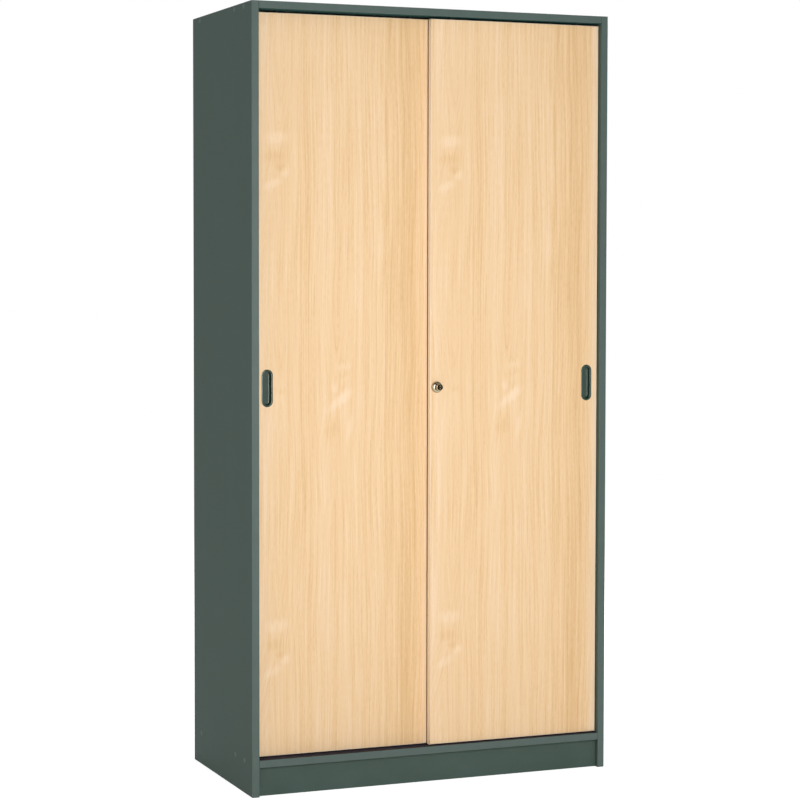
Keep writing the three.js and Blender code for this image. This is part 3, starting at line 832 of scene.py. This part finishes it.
def drilled_columns_tree():
    tree, feet, rows, pitch, radius, depth, finish = new_tree(
        "drilled_columns", Rows="Int", Pitch="Float", Radius="Float", Depth="Float", Finish="Material")
    gaps = add_node(tree, "ShaderNodeMath", [rows, 1.0], operation="SUBTRACT")
    reach = add_node(tree, "ShaderNodeMath", [gaps, pitch], operation="MULTIPLY")
    lowest = add_node(tree, "ShaderNodeMath", [reach, -0.5], operation="MULTIPLY")
    start = add_node(tree, "ShaderNodeCombineXYZ", {"Z": lowest})
    stride = add_node(tree, "ShaderNodeCombineXYZ", {"Z": pitch})
    column = add_node(tree, "GeometryNodeMeshLine",
                      {"Count": rows, "Start Location": start, "Offset": stride}, mode="OFFSET")
    columns = add_node(tree, "GeometryNodeInstanceOnPoints", {"Points": feet, "Instance": column})
    points = add_node(tree, "GeometryNodeRealizeInstances", [columns])
    both_ways = add_node(tree, "ShaderNodeMath", [depth, 2.0], operation="MULTIPLY")
    drill = add_node(tree, "GeometryNodeMeshCylinder",
                     {"Vertices": DRILL_SIDES, "Radius": radius, "Depth": both_ways})
    drill = add_node(tree, "GeometryNodeTransform",
                     {"Geometry": drill.outputs["Mesh"], "Rotation": (0, math.radians(90), 0)})
    drills = add_node(tree, "GeometryNodeInstanceOnPoints", {"Points": points, "Instance": drill})
    return end_tree(tree, drills, finish)


drilled_columns = drilled_columns_tree()
print(drilled_columns.name, "has", len(drilled_columns.nodes), "nodes")

# %% [markdown]
# ## A jig for fittings
# The second tree sets a fitting on each seat. A seat is a point that knows which way it faces, and a fixed
# seed turns each fitting a little, as a screwdriver leaves it.

# %% Build the tree for fittings
SCREWDRIVER_SEED = 7
RANDOM_LEAST, RANDOM_MOST, RANDOM_NUMBER = 2, 3, 1


def fittings_on_seats_tree():
    tree, seats, fitting, seed, finish = new_tree(
        "fittings_on_seats", Fitting="Object", Seed="Int", Finish="Material")
    facing = add_node(tree, "GeometryNodeInputNamedAttribute", {"Name": "facing"}, data_type="FLOAT_VECTOR")
    aim = add_node(tree, "FunctionNodeAlignRotationToVector", {"Vector": facing}, axis="Z")
    model = add_node(tree, "GeometryNodeObjectInfo", {"Object": fitting}).outputs["Geometry"]
    seated = add_node(tree, "GeometryNodeInstanceOnPoints",
                      {"Points": seats, "Instance": model, "Rotation": aim})
    angle = add_node(tree, "FunctionNodeRandomValue",
                     {RANDOM_LEAST: 0.0, RANDOM_MOST: 2 * math.pi, "Seed": seed}, data_type="FLOAT")
    turn = add_node(tree, "ShaderNodeCombineXYZ", {"Z": angle.outputs[RANDOM_NUMBER]})
    turned = add_node(tree, "GeometryNodeRotateInstances", {"Instances": seated, "Rotation": turn})
    return end_tree(tree, turned, finish)


fittings_on_seats = fittings_on_seats_tree()
print(fittings_on_seats.name, "has", len(fittings_on_seats.nodes), "nodes")

# %% [markdown]
# ## Run the jigs
# A tree works on a mesh through a modifier. The points go in as that mesh, with their facings as an
# attribute, and the result is kept as a plain mesh.

# %% Helpers that run a tree
def run_tree(name, tree, points, facings, **values):
    """Runs a tree on points and keeps its result as a plain mesh on a piece of its own."""
    mesh = bpy.data.meshes.new(name)
    mesh.from_pydata(points, [], [])
    if facings:
        facing = mesh.attributes.new("facing", "FLOAT_VECTOR", "POINT")
        for index, direction in enumerate(facings):
            facing.data[index].vector = direction
    piece = add_piece(name, mesh)
    jig = piece.modifiers.new("jig", "NODES")
    jig.node_group = tree
    identifiers = {item.name: item.identifier for item in tree.interface.items_tree if item.in_out == "INPUT"}
    for input_name, value in values.items():
        jig[identifiers[input_name]] = value
    keep_result(piece)
    return piece


def set_fittings(name, fitting, seats, finish):
    """Sets a fitting on seats of (place, facing)."""
    places, facings = zip(*seats)
    return run_tree(name, fittings_on_seats, places, facings,
                    Fitting=fitting, Seed=SCREWDRIVER_SEED, Finish=finish)


print("node trees:", [tree.name for tree in bpy.data.node_groups])

# %% [markdown]
# ## Drills for the carcass
# Two kinds of hole are bored into the sides. Each corner screw needs a stepped hole: wide for its cap,
# narrower for its head and shank. It runs on into the end of the board behind it. And above and below each
# adjustable shelf there is a spare pin hole, in two columns a side.

# %% Make the drills
SIGNS = {"left": -1, "right": 1}
SCREW = in_mm(cap=6.5, cap_depth=2, head=5, head_depth=6, shank=3.2, length=50, tip=3, cap_air=0.08)
PIN = in_mm(peg=2.2, peg_length=9, barrel=4, barrel_length=9, hole=2.5, pitch=32)
PIN_ROWS = 3

side_boxes = {hand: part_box(f"{hand}_side_panel") for hand in SIGNS}
outer_x = {"left": side_boxes["left"][0].x, "right": side_boxes["right"][1].x}
inner_x = {"left": side_boxes["left"][1].x, "right": side_boxes["right"][0].x}


def nodes_called(start):
    return sorted(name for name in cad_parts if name.startswith(start))


def hand_of(name):
    return "left" if "left" in name else "right"


def middle_of(name):
    low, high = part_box(name)
    return (low + high) / 2


def seat_on(name, planes):
    """A seat at a node's own depth and height, on the plane of its side, facing inwards."""
    hand = hand_of(name)
    middle = middle_of(name)
    return Vector((planes[hand], middle.y, middle.z)), Vector((-SIGNS[hand], 0, 0))


screw_names = nodes_called("corner_screw")
pin_names = nodes_called("shelf_pin")
screw_seats = [seat_on(name, outer_x) for name in screw_names]
pin_seats = [seat_on(name, inner_x) for name in pin_names]
drill_profile = shaft(-MM, (SCREW.cap + SCREW.cap_air, SCREW.cap_depth + SEAT_GAP),
                      (SCREW.head + SEAT_GAP, SCREW.head_depth + SEAT_GAP),
                      (SCREW.shank + SEAT_GAP, SCREW.length + SEAT_GAP))
drill = add_tool(turned_mesh(drill_profile, steps=SMALL_TURN))
screw_drills = set_fittings("screw_drills", drill, screw_seats, raw_finish)
pin_drills = run_tree("pin_drills", drilled_columns, [place for place, facing in pin_seats], None,
                      Rows=PIN_ROWS, Pitch=PIN.pitch, Radius=PIN.hole, Depth=PIN.peg_length + SEAT_GAP,
                      Finish=raw_finish)
print(len(screw_seats), "screw holes and", len(pin_seats) * PIN_ROWS, "pin holes")

# %% [markdown]
# ## Carcass boards
# Each board is a core with a strip of edging on its front edge. The core is cut where the back panel and
# the tracks are let in: the tool is simply the solid of the piece that sits there, with a little air round
# it. The strip gets its own rounding, larger than the hairline of the core, because the edge is milled
# round after it is glued.

# %% Make the boards and their edging
EDGING = 2 * MM
EDGING_RADIUS = 0.7 * MM
FRONT = (0, -1, 0)


def edged_board(name, box, node, *tools):
    """A board with edging on its front edge. The tools cut its core."""
    seam = box[0].y + EDGING
    core = add_piece(f"{name}_board", board_mesh(reshaped(box, low_y=seam)), board_finish, raw_finish)
    strip = strip_mesh(reshaped(box, high_y=seam), FRONT, EDGING_RADIUS)
    for tool in tools:
        carve(core, tool)
    dress(core, "carcass", "carcass_board", node)
    dress(add_piece(f"{name}_edging", strip, edging_finish), "carcass", "carcass_board")


back_tool = box_tool(with_air(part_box("back_panel")))
track_tools = {level: box_tool(with_air(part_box(f"{level}_track"))) for level in ("bottom", "top")}
for hand in SIGNS:
    edged_board(f"{hand}_side", side_boxes[hand], f"{hand}_side_panel", back_tool, screw_drills, pin_drills)
for level, track_tool in track_tools.items():
    edged_board(level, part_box(f"{level}_panel"), f"{level}_panel", back_tool, track_tool, screw_drills)

# %% [markdown]
# ## Shelves, plinth and back
# The shelves are edged boards too. The fixed one has glued dowels in its ends, which its solid includes,
# so its board takes its length from the bottom panel. The plinth stands back from the front, and the back
# panel slides in its groove: both show only their faces, so a board with a hairline edge is enough.

# %% Make the shelves, the plinth and the back
bottom_low, bottom_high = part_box("bottom_panel")
fixed_box = reshaped(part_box("fixed_middle_shelf"), low_x=bottom_low.x, high_x=bottom_high.x)
edged_board("fixed_shelf", fixed_box, "fixed_middle_shelf")
for number in (1, 2, 3):
    edged_board(f"shelf_{number}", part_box(f"adjustable_shelf_{number}"), f"adjustable_shelf_{number}")
for name, node in (("plinth_board", "front_plinth"), ("back_board", "back_panel")):
    dress(add_piece(name, board_mesh(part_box(node)), board_finish), "carcass", "carcass_board", node)

# %% [markdown]
# ## Tracks
# Each track is one extrusion of ABS with two channels: the front one for the right door, the rear one for
# the left. The lips of the channels are rounded so that a wheel or a guide pin slips in easily. The
# section follows from the middles of the doors, so a channel is always in line with its door. A thin
# flange in front hides the edge of the groove. Dust and wear make this plastic dull. The upper track is
# lighter and greener than the lower one: painted light, for the light that reaches under the top board.

# %% Draw the tracks
CHANNEL = in_mm(width=7, depth=6.5, lip=0.8, corner=0.5)
FLANGE = in_mm(width=8.4, low=0.05, high=0.6, edge=0.2)
door_boxes = {hand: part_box(f"{hand}_door_panel") for hand in SIGNS}
door_depths = {hand: middle_of(f"{hand}_door_panel").y for hand in SIGNS}


def track_section(low, high, up):
    """The section of a track whose channels open up or down."""
    mouth, base = (high.z, low.z) if up > 0 else (low.z, high.z)
    bottom = mouth - up * CHANNEL.depth
    front, under, over = low.y - FLANGE.width, mouth + up * FLANGE.low, mouth + up * FLANGE.high
    corners = [(low.y, base, 0), (low.y, under, 0), (front, under, 0), (front, over, FLANGE.edge),
               (low.y + FLANGE.high, over, 0), (low.y + 2 * FLANGE.high, mouth, 0)]
    for middle in sorted(door_depths.values()):
        near, far = middle - CHANNEL.width / 2, middle + CHANNEL.width / 2
        corners += [(near, mouth, CHANNEL.lip), (near, bottom, CHANNEL.corner),
                    (far, bottom, CHANNEL.corner), (far, mouth, CHANNEL.lip)]
    corners += [(high.y, mouth, CHANNEL.corner), (high.y, base, 0)]
    return rounded(corners, closed=True, steps=3)


for level, up in (("bottom", 1), ("top", -1)):
    low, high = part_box(f"{level}_track")
    section = track_section(low, high, up)
    mesh = skin_mesh([[(x, y, z) for y, z in section] for x in (low.x, high.x)])
    track = add_piece(f"{level}_track_profile", mesh, track_finishes[level])
    dress(track, "carcass", "track_plastic", f"{level}_track")

# %% [markdown]
# ## Corner screws and shelf pins
# The corner screws are hidden by plastic caps, which sit flush in the side: only a fine ring shows where
# cap and board meet. A shelf pin is a turned steel peg with a thicker barrel that carries the shelf. Each
# shape is made once and the jig sets it on its seats.

# %% Set the screws and the pins
screw_profile = [
    (0, 0.1 * MM, 0),
    (SCREW.cap, 0.02 * MM, 0.2 * MM),
    (SCREW.cap, SCREW.cap_depth, 0),
    (SCREW.head, SCREW.cap_depth, 0),
    (SCREW.head, SCREW.head_depth - MM, 0),
    (SCREW.shank, SCREW.head_depth, 0),
    (SCREW.shank, SCREW.length - SCREW.tip, 0),
    (0, SCREW.length, 0),
]
screw = add_tool(turned_mesh(rounded(screw_profile), steps=SMALL_TURN))
caps = set_fittings("corner_screws_and_caps", screw, screw_seats, cap_finish)
dress(caps, "carcass", "cap_plastic", *screw_names)

pin_profile = [
    (0, -PIN.peg_length, 0),
    (PIN.peg, -PIN.peg_length, 0.5 * MM),
    (PIN.peg, SEAT_GAP, 0),
    (PIN.barrel, SEAT_GAP, 0.4 * MM),
    (PIN.barrel, PIN.barrel_length + SEAT_GAP, 0.8 * MM),
    (0, PIN.barrel_length + SEAT_GAP, 0),
]
shelf_pin = add_tool(turned_mesh(rounded(pin_profile), steps=SMALL_TURN))
pins = set_fittings("turned_shelf_pins", shelf_pin, pin_seats, steel_finish)
dress(pins, "carcass", "pin_steel", *pin_names)
remove_pieces(drill, screw, shelf_pin, screw_drills, pin_drills, back_tool, *track_tools.values())

# %% [markdown]
# ## Back clips
# Four small clips hold the back panel in its groove. Each is an L of moulded plastic: a plate screwed to
# the rear edge of the side, and a leg that presses on the back. Seen from the side, two of them make the
# small bumps on the rear edge at mid height. The screws are countersunk and have a cross recess.

# %% Make the clips and their screws
CLIP = in_mm(shank=1.6, head=3.4, head_edge=0.3, head_depth=1.9, length=16, edge=0.6, air=0.1)
CROSS = in_mm(reach=2, half_width=0.4, depth=1.2)
rear_edge = side_boxes["left"][1].y + SEAT_GAP


def clip_outline(sign, low, high):
    """The L of a clip in X and Y, from its outer end round to its leg."""
    leg = sign * (abs(inner_x["left"]) - SEAT_GAP)
    inner, outer = (sign * end for end in sorted((abs(low.x), abs(high.x))))
    corners = [(outer, high.y), (outer, rear_edge), (leg, rear_edge),
               (leg, low.y), (inner, low.y), (inner, high.y)]
    return rounded([(x, y, CLIP.edge) for x, y in corners], closed=True, steps=3)


def countersunk_mesh(air):
    """A countersunk screw, or with some air the hole for it."""
    head, shank, end = CLIP.head + air, CLIP.shank + air, CLIP.length + air
    profile = [(0, -air), (head, -air), (head, CLIP.head_edge),
               (shank, CLIP.head_depth), (shank, end), (0, end)]
    return turned_mesh(profile, steps=SMALL_TURN)


clip_seats = []
for name in nodes_called("back_clip"):
    sign = SIGNS[hand_of(name)]
    low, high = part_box(name)
    clip = add_piece(f"{name}_moulding", drawn_mesh(clip_outline(sign, low, high), low.z, high.z), cap_finish)
    seat = Vector((sign * (abs(inner_x["left"]) + abs(outer_x["left"])) / 2, high.y, (low.z + high.z) / 2))
    clip_seats.append((seat, Vector(FRONT)))
    countersink = countersunk_mesh(CLIP.air)
    countersink.transform(front_place(*seat))
    tool = add_tool(countersink, cap_finish)
    carve(clip, tool)
    remove_pieces(tool)
    dress(clip, "carcass", "cap_plastic", name)

clip_screw = add_tool(countersunk_mesh(0), steel_finish)
for x, y in ((CROSS.reach, CROSS.half_width), (CROSS.half_width, CROSS.reach)):
    bar = box_tool((Vector((-x, -y, -MM)), Vector((x, y, CROSS.depth))))
    carve(clip_screw, bar)
    remove_pieces(bar)
screws = set_fittings("clip_screws", clip_screw, clip_seats, steel_finish)
dress(screws, "carcass", "pin_steel")
remove_pieces(clip_screw)

# %% [markdown]
# ## Print and pockets of a door
# A UV map lays the print on a door: across and up on its two faces, and round the corner on its edges. Both
# doors get the same pockets: one in the shape of a stadium for the pull, one for each roller housing at the
# foot, and a hole for each guide pin at the head.

# %% Helpers for the doors
PRINT_AT_EDGES = 0.42412
FACES_SIDEWAYS = 0.7
PULL = in_mm(width=30, height=96, rim=5, wall=1.2, flange=1.2, depth=12)
GUIDE_HOLE = in_mm(radius=5, spare=10)
HALF_ROUND_STEPS = 20


def lay_print(mesh, left_edge):
    """Lays the print on a door piece: a UV map in metres, across from the door's left edge and up."""
    layer = mesh.uv_layers.new(name="print")
    for face in mesh.polygons:
        on_side = abs(face.normal.x) > FACES_SIDEWAYS
        for corner in face.loop_indices:
            point = mesh.vertices[mesh.loops[corner].vertex_index].co
            across = PRINT_AT_EDGES + point.y if on_side else point.x - left_edge
            layer.data[corner].uv = (across, point.z)


def pull_skin(hand, section):
    """A section of (inset, depth) led round the upright stadium of a door's pull."""
    face = door_boxes[hand][0].y
    middle = middle_of(f"{hand}_door_pull")
    rings = []
    for inset, depth in section:
        radius = PULL.width / 2 - inset
        straight = (PULL.height - PULL.width) / 2
        ring = []
        for start, lift_up in ((0, straight), (math.pi, -straight)):
            for step in range(HALF_ROUND_STEPS + 1):
                angle = start + math.pi * step / HALF_ROUND_STEPS
                ring.append((middle.x + radius * math.cos(angle), face + depth,
                             middle.z + lift_up + radius * math.sin(angle)))
        rings.append(ring)
    return skin_mesh(rings)


def door_tools(hand):
    """The tools that cut a door: one for its pull, and two at each end."""
    inset = PULL.rim - PULL.wall - SEAT_GAP
    tools = [add_tool(pull_skin(hand, [(inset, -MM), (inset, PULL.depth + SEAT_GAP)]))]
    for end in SIGNS:
        low, high = with_air(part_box(f"{hand}_door_roller_housing_{end}"))
        tools.append(box_tool(reshaped((low, high), low_z=low.z - MM, high_y=high.y + MM)))
        low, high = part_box(f"{hand}_door_top_guide_{end}")
        hole = shaft(low.z - GUIDE_HOLE.spare, (GUIDE_HOLE.radius, high.z))
        place = Matrix.Translation(((low.x + high.x) / 2, (low.y + high.y) / 2, 0))
        tools.append(add_tool(turned_mesh(hole, place, SMALL_TURN)))
    return tools


print("the pull's pocket goes", PULL.depth, "m into the door")

# %% [markdown]
# ## Door panels
# A door is a printed board with edging of a paler print on all four edges. The paler print is painted light:
# it lifts the edges, which catch less light, to the brightness of the faces. It is cut after it is edged,
# so the pockets at its foot and head go through the edging too. Only the right door has a hole for the lock.

# %% Make the doors
DOOR_EDGING = 2 * MM
DOOR_RADIUS = 1.5 * MM
DOOR_HAIRLINE = 0.15 * MM
LOCK_HOLE = in_mm(radius=10.3, front=5, rear=-20)


def make_door(hand, extra_tools):
    name = f"{hand}_door"
    box = door_boxes[hand]
    low, high = box
    bottom, top = low.z + DOOR_EDGING, high.z - DOOR_EDGING
    inner = {"low_x": low.x + DOOR_EDGING, "high_x": high.x - DOOR_EDGING}
    mesh = board_mesh(reshaped(box, low_z=bottom, high_z=top, **inner), DOOR_HAIRLINE)
    lay_print(mesh, low.x)
    board = add_piece(f"{name}_board", mesh, beech_finish, raw_finish)
    strips = {
        "left": (reshaped(box, high_x=inner["low_x"]), (-1, 0, 0)),
        "right": (reshaped(box, low_x=inner["high_x"]), (1, 0, 0)),
        "foot": (reshaped(box, high_z=bottom, **inner), (0, 0, -1)),
        "head": (reshaped(box, low_z=top, **inner), (0, 0, 1)),
    }
    for side, (strip_box, outward) in strips.items():
        mesh = strip_mesh(strip_box, outward, DOOR_RADIUS)
        lay_print(mesh, low.x)
        strips[side] = add_piece(f"{name}_{side}_edging", mesh, beech_edging_painted_light_finish, raw_finish)
    tools = door_tools(hand) + extra_tools
    for tool in tools:
        for piece in (board, strips["foot"], strips["head"]):
            carve(piece, tool)
    remove_pieces(*tools)
    dress(board, name, "door_board", f"{name}_panel")
    for strip in strips.values():
        dress(strip, name, "door_board")


lock_middle = middle_of("lock_housing")
right_face = door_boxes["right"][0].y
lock_place = front_place(lock_middle.x, right_face, lock_middle.z)
lock_hole = shaft(LOCK_HOLE.rear, (LOCK_HOLE.radius, LOCK_HOLE.front))
make_door("left", [])
make_door("right", [add_tool(turned_mesh(lock_hole, lock_place))])

# %% [markdown]
# ## Dust seal
# Where the doors overlap, a strip of pile on the back of the right door closes most of the gap to the left
# door. Its dark brown is painted shade: from the front it draws the fine dark line of shade in the gap
# between the doors. It stays clear of the left pull, so it is a little thinner than the gap.

# %% Make the dust seal, a line of painted shade
SEAL = in_mm(out=1, inwards=6, gap=0.05, thickness=2.2, edge=0.7)
low, high = door_boxes["right"]
seal_box = (Vector((low.x - SEAL.out, high.y + SEAL.gap, low.z + DOOR_EDGING)),
            Vector((low.x + SEAL.inwards, high.y + SEAL.thickness, high.z - DOOR_EDGING)))
seal = add_piece("dust_seal_pile", strip_mesh(seal_box, (0, 1, 0), SEAL.edge), shade_line_pile_finish)
dress(seal, "right_door", "nylon")

# %% [markdown]
# ## Flush pulls
# A flush pull is a stadium-shaped cup with a half-round rim that stands on the door's face. The mould needs
# rounded edges and slightly leaning walls so that the part comes out of it. Here that is one skin: its
# section is an outline of inset and depth, and each point of the section becomes a ring, so all the
# rounding follows the stadium by itself.

# %% Make the pulls
RIM_STEPS = 16
FLOOR_INSET = 10 * MM
half_rim = PULL.rim / 2
cup_outside = PULL.rim - PULL.wall
cup_floor = PULL.depth - PULL.wall
angles = [math.pi * step / RIM_STEPS for step in range(RIM_STEPS + 1)]
rim = [(half_rim - half_rim * math.cos(a), -SEAT_GAP - PULL.flange * math.sin(a), 0) for a in angles]
pull_section = rounded([
    (FLOOR_INSET, PULL.depth, 0),
    (cup_outside, PULL.depth, 2.4 * MM),
    (cup_outside, -SEAT_GAP, 0),
    *rim,
    (PULL.rim + 0.3 * MM, cup_floor, 2.2 * MM),
    (FLOOR_INSET, cup_floor, 0),
])
for hand in SIGNS:
    pull = add_piece(f"{hand}_door_cup_pull", pull_skin(hand, pull_section), pull_finish)
    dress(pull, f"{hand}_door", "pull_plastic", f"{hand}_door_pull")

# %% [markdown]
# ## Roller housings
# Each door stands on two nylon wheels in black housings, let into its foot from behind. A housing is a
# block with a slot for the wheel, a hole for the axle and a row of ribs above it.

# %% Helper for housings
WHEEL = in_mm(radius=13, width=4.4, axle=2, hub=5, rim=2.4, dish=0.9, edge=0.3, tread_edge=1.2)
HOUSING = in_mm(slot_air=0.3, rim_air=1, edge=0.8, pocket=2.2, rib=1.4, margin=3, rise=9, axle_reach=12)
RIB_COUNT = 6
HOUSING_STEPS = 3


def make_housing(hand, end):
    node = f"{hand}_door_roller_housing_{end}"
    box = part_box(node)
    low, high = box
    axle = middle_of(f"{hand}_door_roller_wheel_{end}")
    axle.y = door_depths[hand]
    reach = WHEEL.radius + HOUSING.rim_air
    half_slot = WHEEL.width / 2 + HOUSING.slot_air
    tools = [box_tool((Vector((axle.x - reach, axle.y - half_slot, low.z - MM)),
                       Vector((axle.x + reach, axle.y + half_slot, axle.z + reach))), housing_finish)]
    hole = shaft(-HOUSING.axle_reach, (WHEEL.axle + SEAT_GAP, HOUSING.axle_reach))
    tools.append(add_tool(turned_mesh(hole, front_place(*axle), SMALL_TURN), housing_finish))
    stride = (high.x - low.x - 2 * HOUSING.margin) / RIB_COUNT
    for index in range(RIB_COUNT):
        left = low.x + HOUSING.margin + index * stride + HOUSING.rib / 2
        pocket = reshaped(box, low_x=left, high_x=left + stride - HOUSING.rib, low_y=high.y - HOUSING.pocket,
                          high_y=high.y + MM, low_z=axle.z + HOUSING.rise, high_z=high.z - HOUSING.margin)
        tools.append(box_tool(pocket, housing_finish))
    body = add_piece(f"{node}_block", board_mesh(box, HOUSING.edge, HOUSING_STEPS), housing_finish)
    for tool in tools:
        carve(body, tool)
    remove_pieces(*tools)
    dress(body, f"{hand}_door", "housing_plastic", node)


print("a housing has", RIB_COUNT, "ribs")

# %% [markdown]
# ## Wheels and guides
# A wheel is dished on both cheeks, between its hub and its rim, so one cheek's outline serves for both. At
# a door's head, two sprung nylon pins run in the upper track: they can be pressed down to lift the door out.

# %% Make the housings, wheels and guides
GUIDE = in_mm(body=4.7, nose=3, shoulder=1)
GUIDE_TURN = 48


def make_wheel(hand, end):
    node = f"{hand}_door_roller_wheel_{end}"
    low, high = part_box(node)
    middle = middle_of(node)
    depth = door_depths[hand]
    half = WHEEL.width / 2
    dish, rim = half - WHEEL.dish, WHEEL.radius - WHEEL.rim
    cheek = [(WHEEL.axle, half, 0), (WHEEL.hub, half, WHEEL.edge), (WHEEL.hub, dish, WHEEL.edge),
             (rim, dish, WHEEL.edge), (rim, half, WHEEL.edge), (WHEEL.radius, half, WHEEL.tread_edge)]
    profile = rounded([
        (0, depth - high.y, 0), (WHEEL.axle, depth - high.y, WHEEL.edge),
        *[(radius, -height, edge) for radius, height, edge in cheek], *reversed(cheek),
        (WHEEL.axle, depth - low.y, WHEEL.edge), (0, depth - low.y, 0),
    ], steps=3)
    mesh = turned_mesh(profile, front_place(middle.x, depth, middle.z))
    dress(add_piece(f"{node}_turned", mesh, nylon_finish), f"{hand}_door_wheel_{end}", "nylon", node)


def make_guide(hand, end):
    node = f"{hand}_door_top_guide_{end}"
    low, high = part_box(node)
    middle = middle_of(node)
    shoulder = door_boxes[hand][1].z - GUIDE.shoulder
    profile = rounded([
        (0, low.z, 0), (GUIDE.body, low.z, 0.5 * MM), (GUIDE.body, shoulder, 0.5 * MM),
        (GUIDE.nose, shoulder, 0.3 * MM), (GUIDE.nose, high.z, 1 * MM), (0, high.z, 0),
    ])
    mesh = turned_mesh(profile, Matrix.Translation((middle.x, middle.y, 0)), GUIDE_TURN)
    dress(add_piece(f"{node}_turned", mesh, nylon_finish), f"{hand}_door_guide_{end}", "nylon", node)


for hand in SIGNS:
    for end in SIGNS:
        make_housing(hand, end)
        make_wheel(hand, end)
        make_guide(hand, end)

# %% [markdown]
# ## The lock's collar
# The lock has a domed collar, screwed into the door, and a cylinder that stands out of it until it is
# pushed home. Both are turned. Heights are measured out of the door's face, so the numbers read like a
# drawing of the lock. The dome is a quarter of an ellipse, from the collar's band to its mouth.

# %% Turn the collar
LOCK = in_mm(collar=15, collar_height=10, band=1.5, mouth=9.6, barrel=10, rear=-17.5, bore_end=-13.3,
             cylinder=8.25, shoulder=-2, bolt=4, bolt_tip=-17)
DOME_STEPS = 12
dome_foot = SEAT_GAP + LOCK.band
dome_width = LOCK.collar - LOCK.mouth
dome_rise = LOCK.collar_height - dome_foot
angles = [math.pi / 2 * step / DOME_STEPS for step in range(DOME_STEPS + 1)]
dome = [(LOCK.mouth + dome_width * math.cos(a), dome_foot + dome_rise * math.sin(a), 0) for a in angles]
bore = LOCK.cylinder + SEAT_GAP
bolt_hole = LOCK.bolt + SEAT_GAP
collar_profile = rounded([
    (bore, LOCK.collar_height, 0.6 * MM), (bore, LOCK.bore_end, 0), (bolt_hole, LOCK.bore_end, 0),
    (bolt_hole, LOCK.rear, 0.3 * MM), (LOCK.barrel, LOCK.rear, 0.6 * MM), (LOCK.barrel, SEAT_GAP, 0),
    (LOCK.collar, SEAT_GAP, 0.4 * MM), *dome,
], closed=True)
collar_mesh = turned_mesh(collar_profile, lock_place, FINE_TURN, closed=True)
collar = add_piece("lock_collar_and_barrel", collar_mesh, nickel_painted_darker_finish)
dress(collar, "right_door", "lock_nickel", "lock_housing")

# %% [markdown]
# ## The lock's cylinder
# The cylinder ends in a bolt, which blocks the other door when the cylinder is pushed home. It is bored for
# the key plug. The faces that point to the front are nearly black, and all the rest is nickel.

# %% Turn the cylinder
PLUG = in_mm(radius=5.5, length=16, slot=2.1, slot_length=9.6, slot_depth=9)
FACES_FRONT = -0.9
cylinder_front = right_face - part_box("lock_cylinder")[0].y
plug_front = right_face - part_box("lock_key_plug")[0].y
plug_back = plug_front - PLUG.length
plug_room = PLUG.radius + SEAT_GAP
cylinder_profile = rounded([
    (0, LOCK.bolt_tip, 0), (LOCK.bolt, LOCK.bolt_tip, 0.8 * MM), (LOCK.bolt, LOCK.shoulder, 0),
    (LOCK.cylinder, LOCK.shoulder, 0.3 * MM), (LOCK.cylinder, cylinder_front, 0.9 * MM),
    (plug_room, cylinder_front, 0.3 * MM), (plug_room, plug_back - SEAT_GAP, 0), (0, plug_back - SEAT_GAP, 0),
])
cylinder_mesh = turned_mesh(cylinder_profile, lock_place, FINE_TURN)
cylinder = add_piece("lock_push_cylinder", cylinder_mesh, nickel_painted_darker_finish, dark_finish)
for face in cylinder_mesh.polygons:
    face.material_index = int(face.normal.y < FACES_FRONT)
dress(cylinder, "lock_cylinder", "lock_nickel", "lock_cylinder")

# %% [markdown]
# ## Key plug and dust shutters
# The plug turns with the key. Its keyway is cut with a bar, and two sprung leaves close most of it against
# dust.

# %% Make the plug and its shutters
SHUTTER = in_mm(height=3, thickness=0.8, depth=0.6, air=0.02, edge=0.15)
plug_profile = rounded([(0, plug_back, 0), (PLUG.radius, plug_back, 0.3 * MM),
                        (PLUG.radius, plug_front, 0.4 * MM), (0, plug_front, 0)])
plug = add_piece("lock_turned_plug", turned_mesh(plug_profile, lock_place), dark_finish)
half_slot = Vector((PLUG.slot, PLUG.slot_length, 0)) / 2
keyway = box_tool((Vector((0, 0, plug_front - PLUG.slot_depth)) - half_slot,
                   Vector((0, 0, plug_front + MM)) + half_slot), dark_finish)
keyway.data.transform(lock_place)
carve(plug, keyway)
remove_pieces(keyway)
dress(plug, "lock_key_plug", "lock_nickel", "lock_key_plug")

half_leaf = Vector((PLUG.slot / 2 - SHUTTER.air, SHUTTER.height / 2 - SHUTTER.air, SHUTTER.thickness / 2))
for name, sign in (("upper", 1), ("lower", -1)):
    middle = Vector((0, sign * (PLUG.slot_length - SHUTTER.height) / 2, plug_front - SHUTTER.depth))
    leaf = board_mesh((middle - half_leaf, middle + half_leaf), SHUTTER.edge)
    leaf.transform(lock_place)
    dress(add_piece(f"lock_{name}_dust_shutter", leaf, nickel_painted_darker_finish), "lock_key_plug", "lock_nickel")
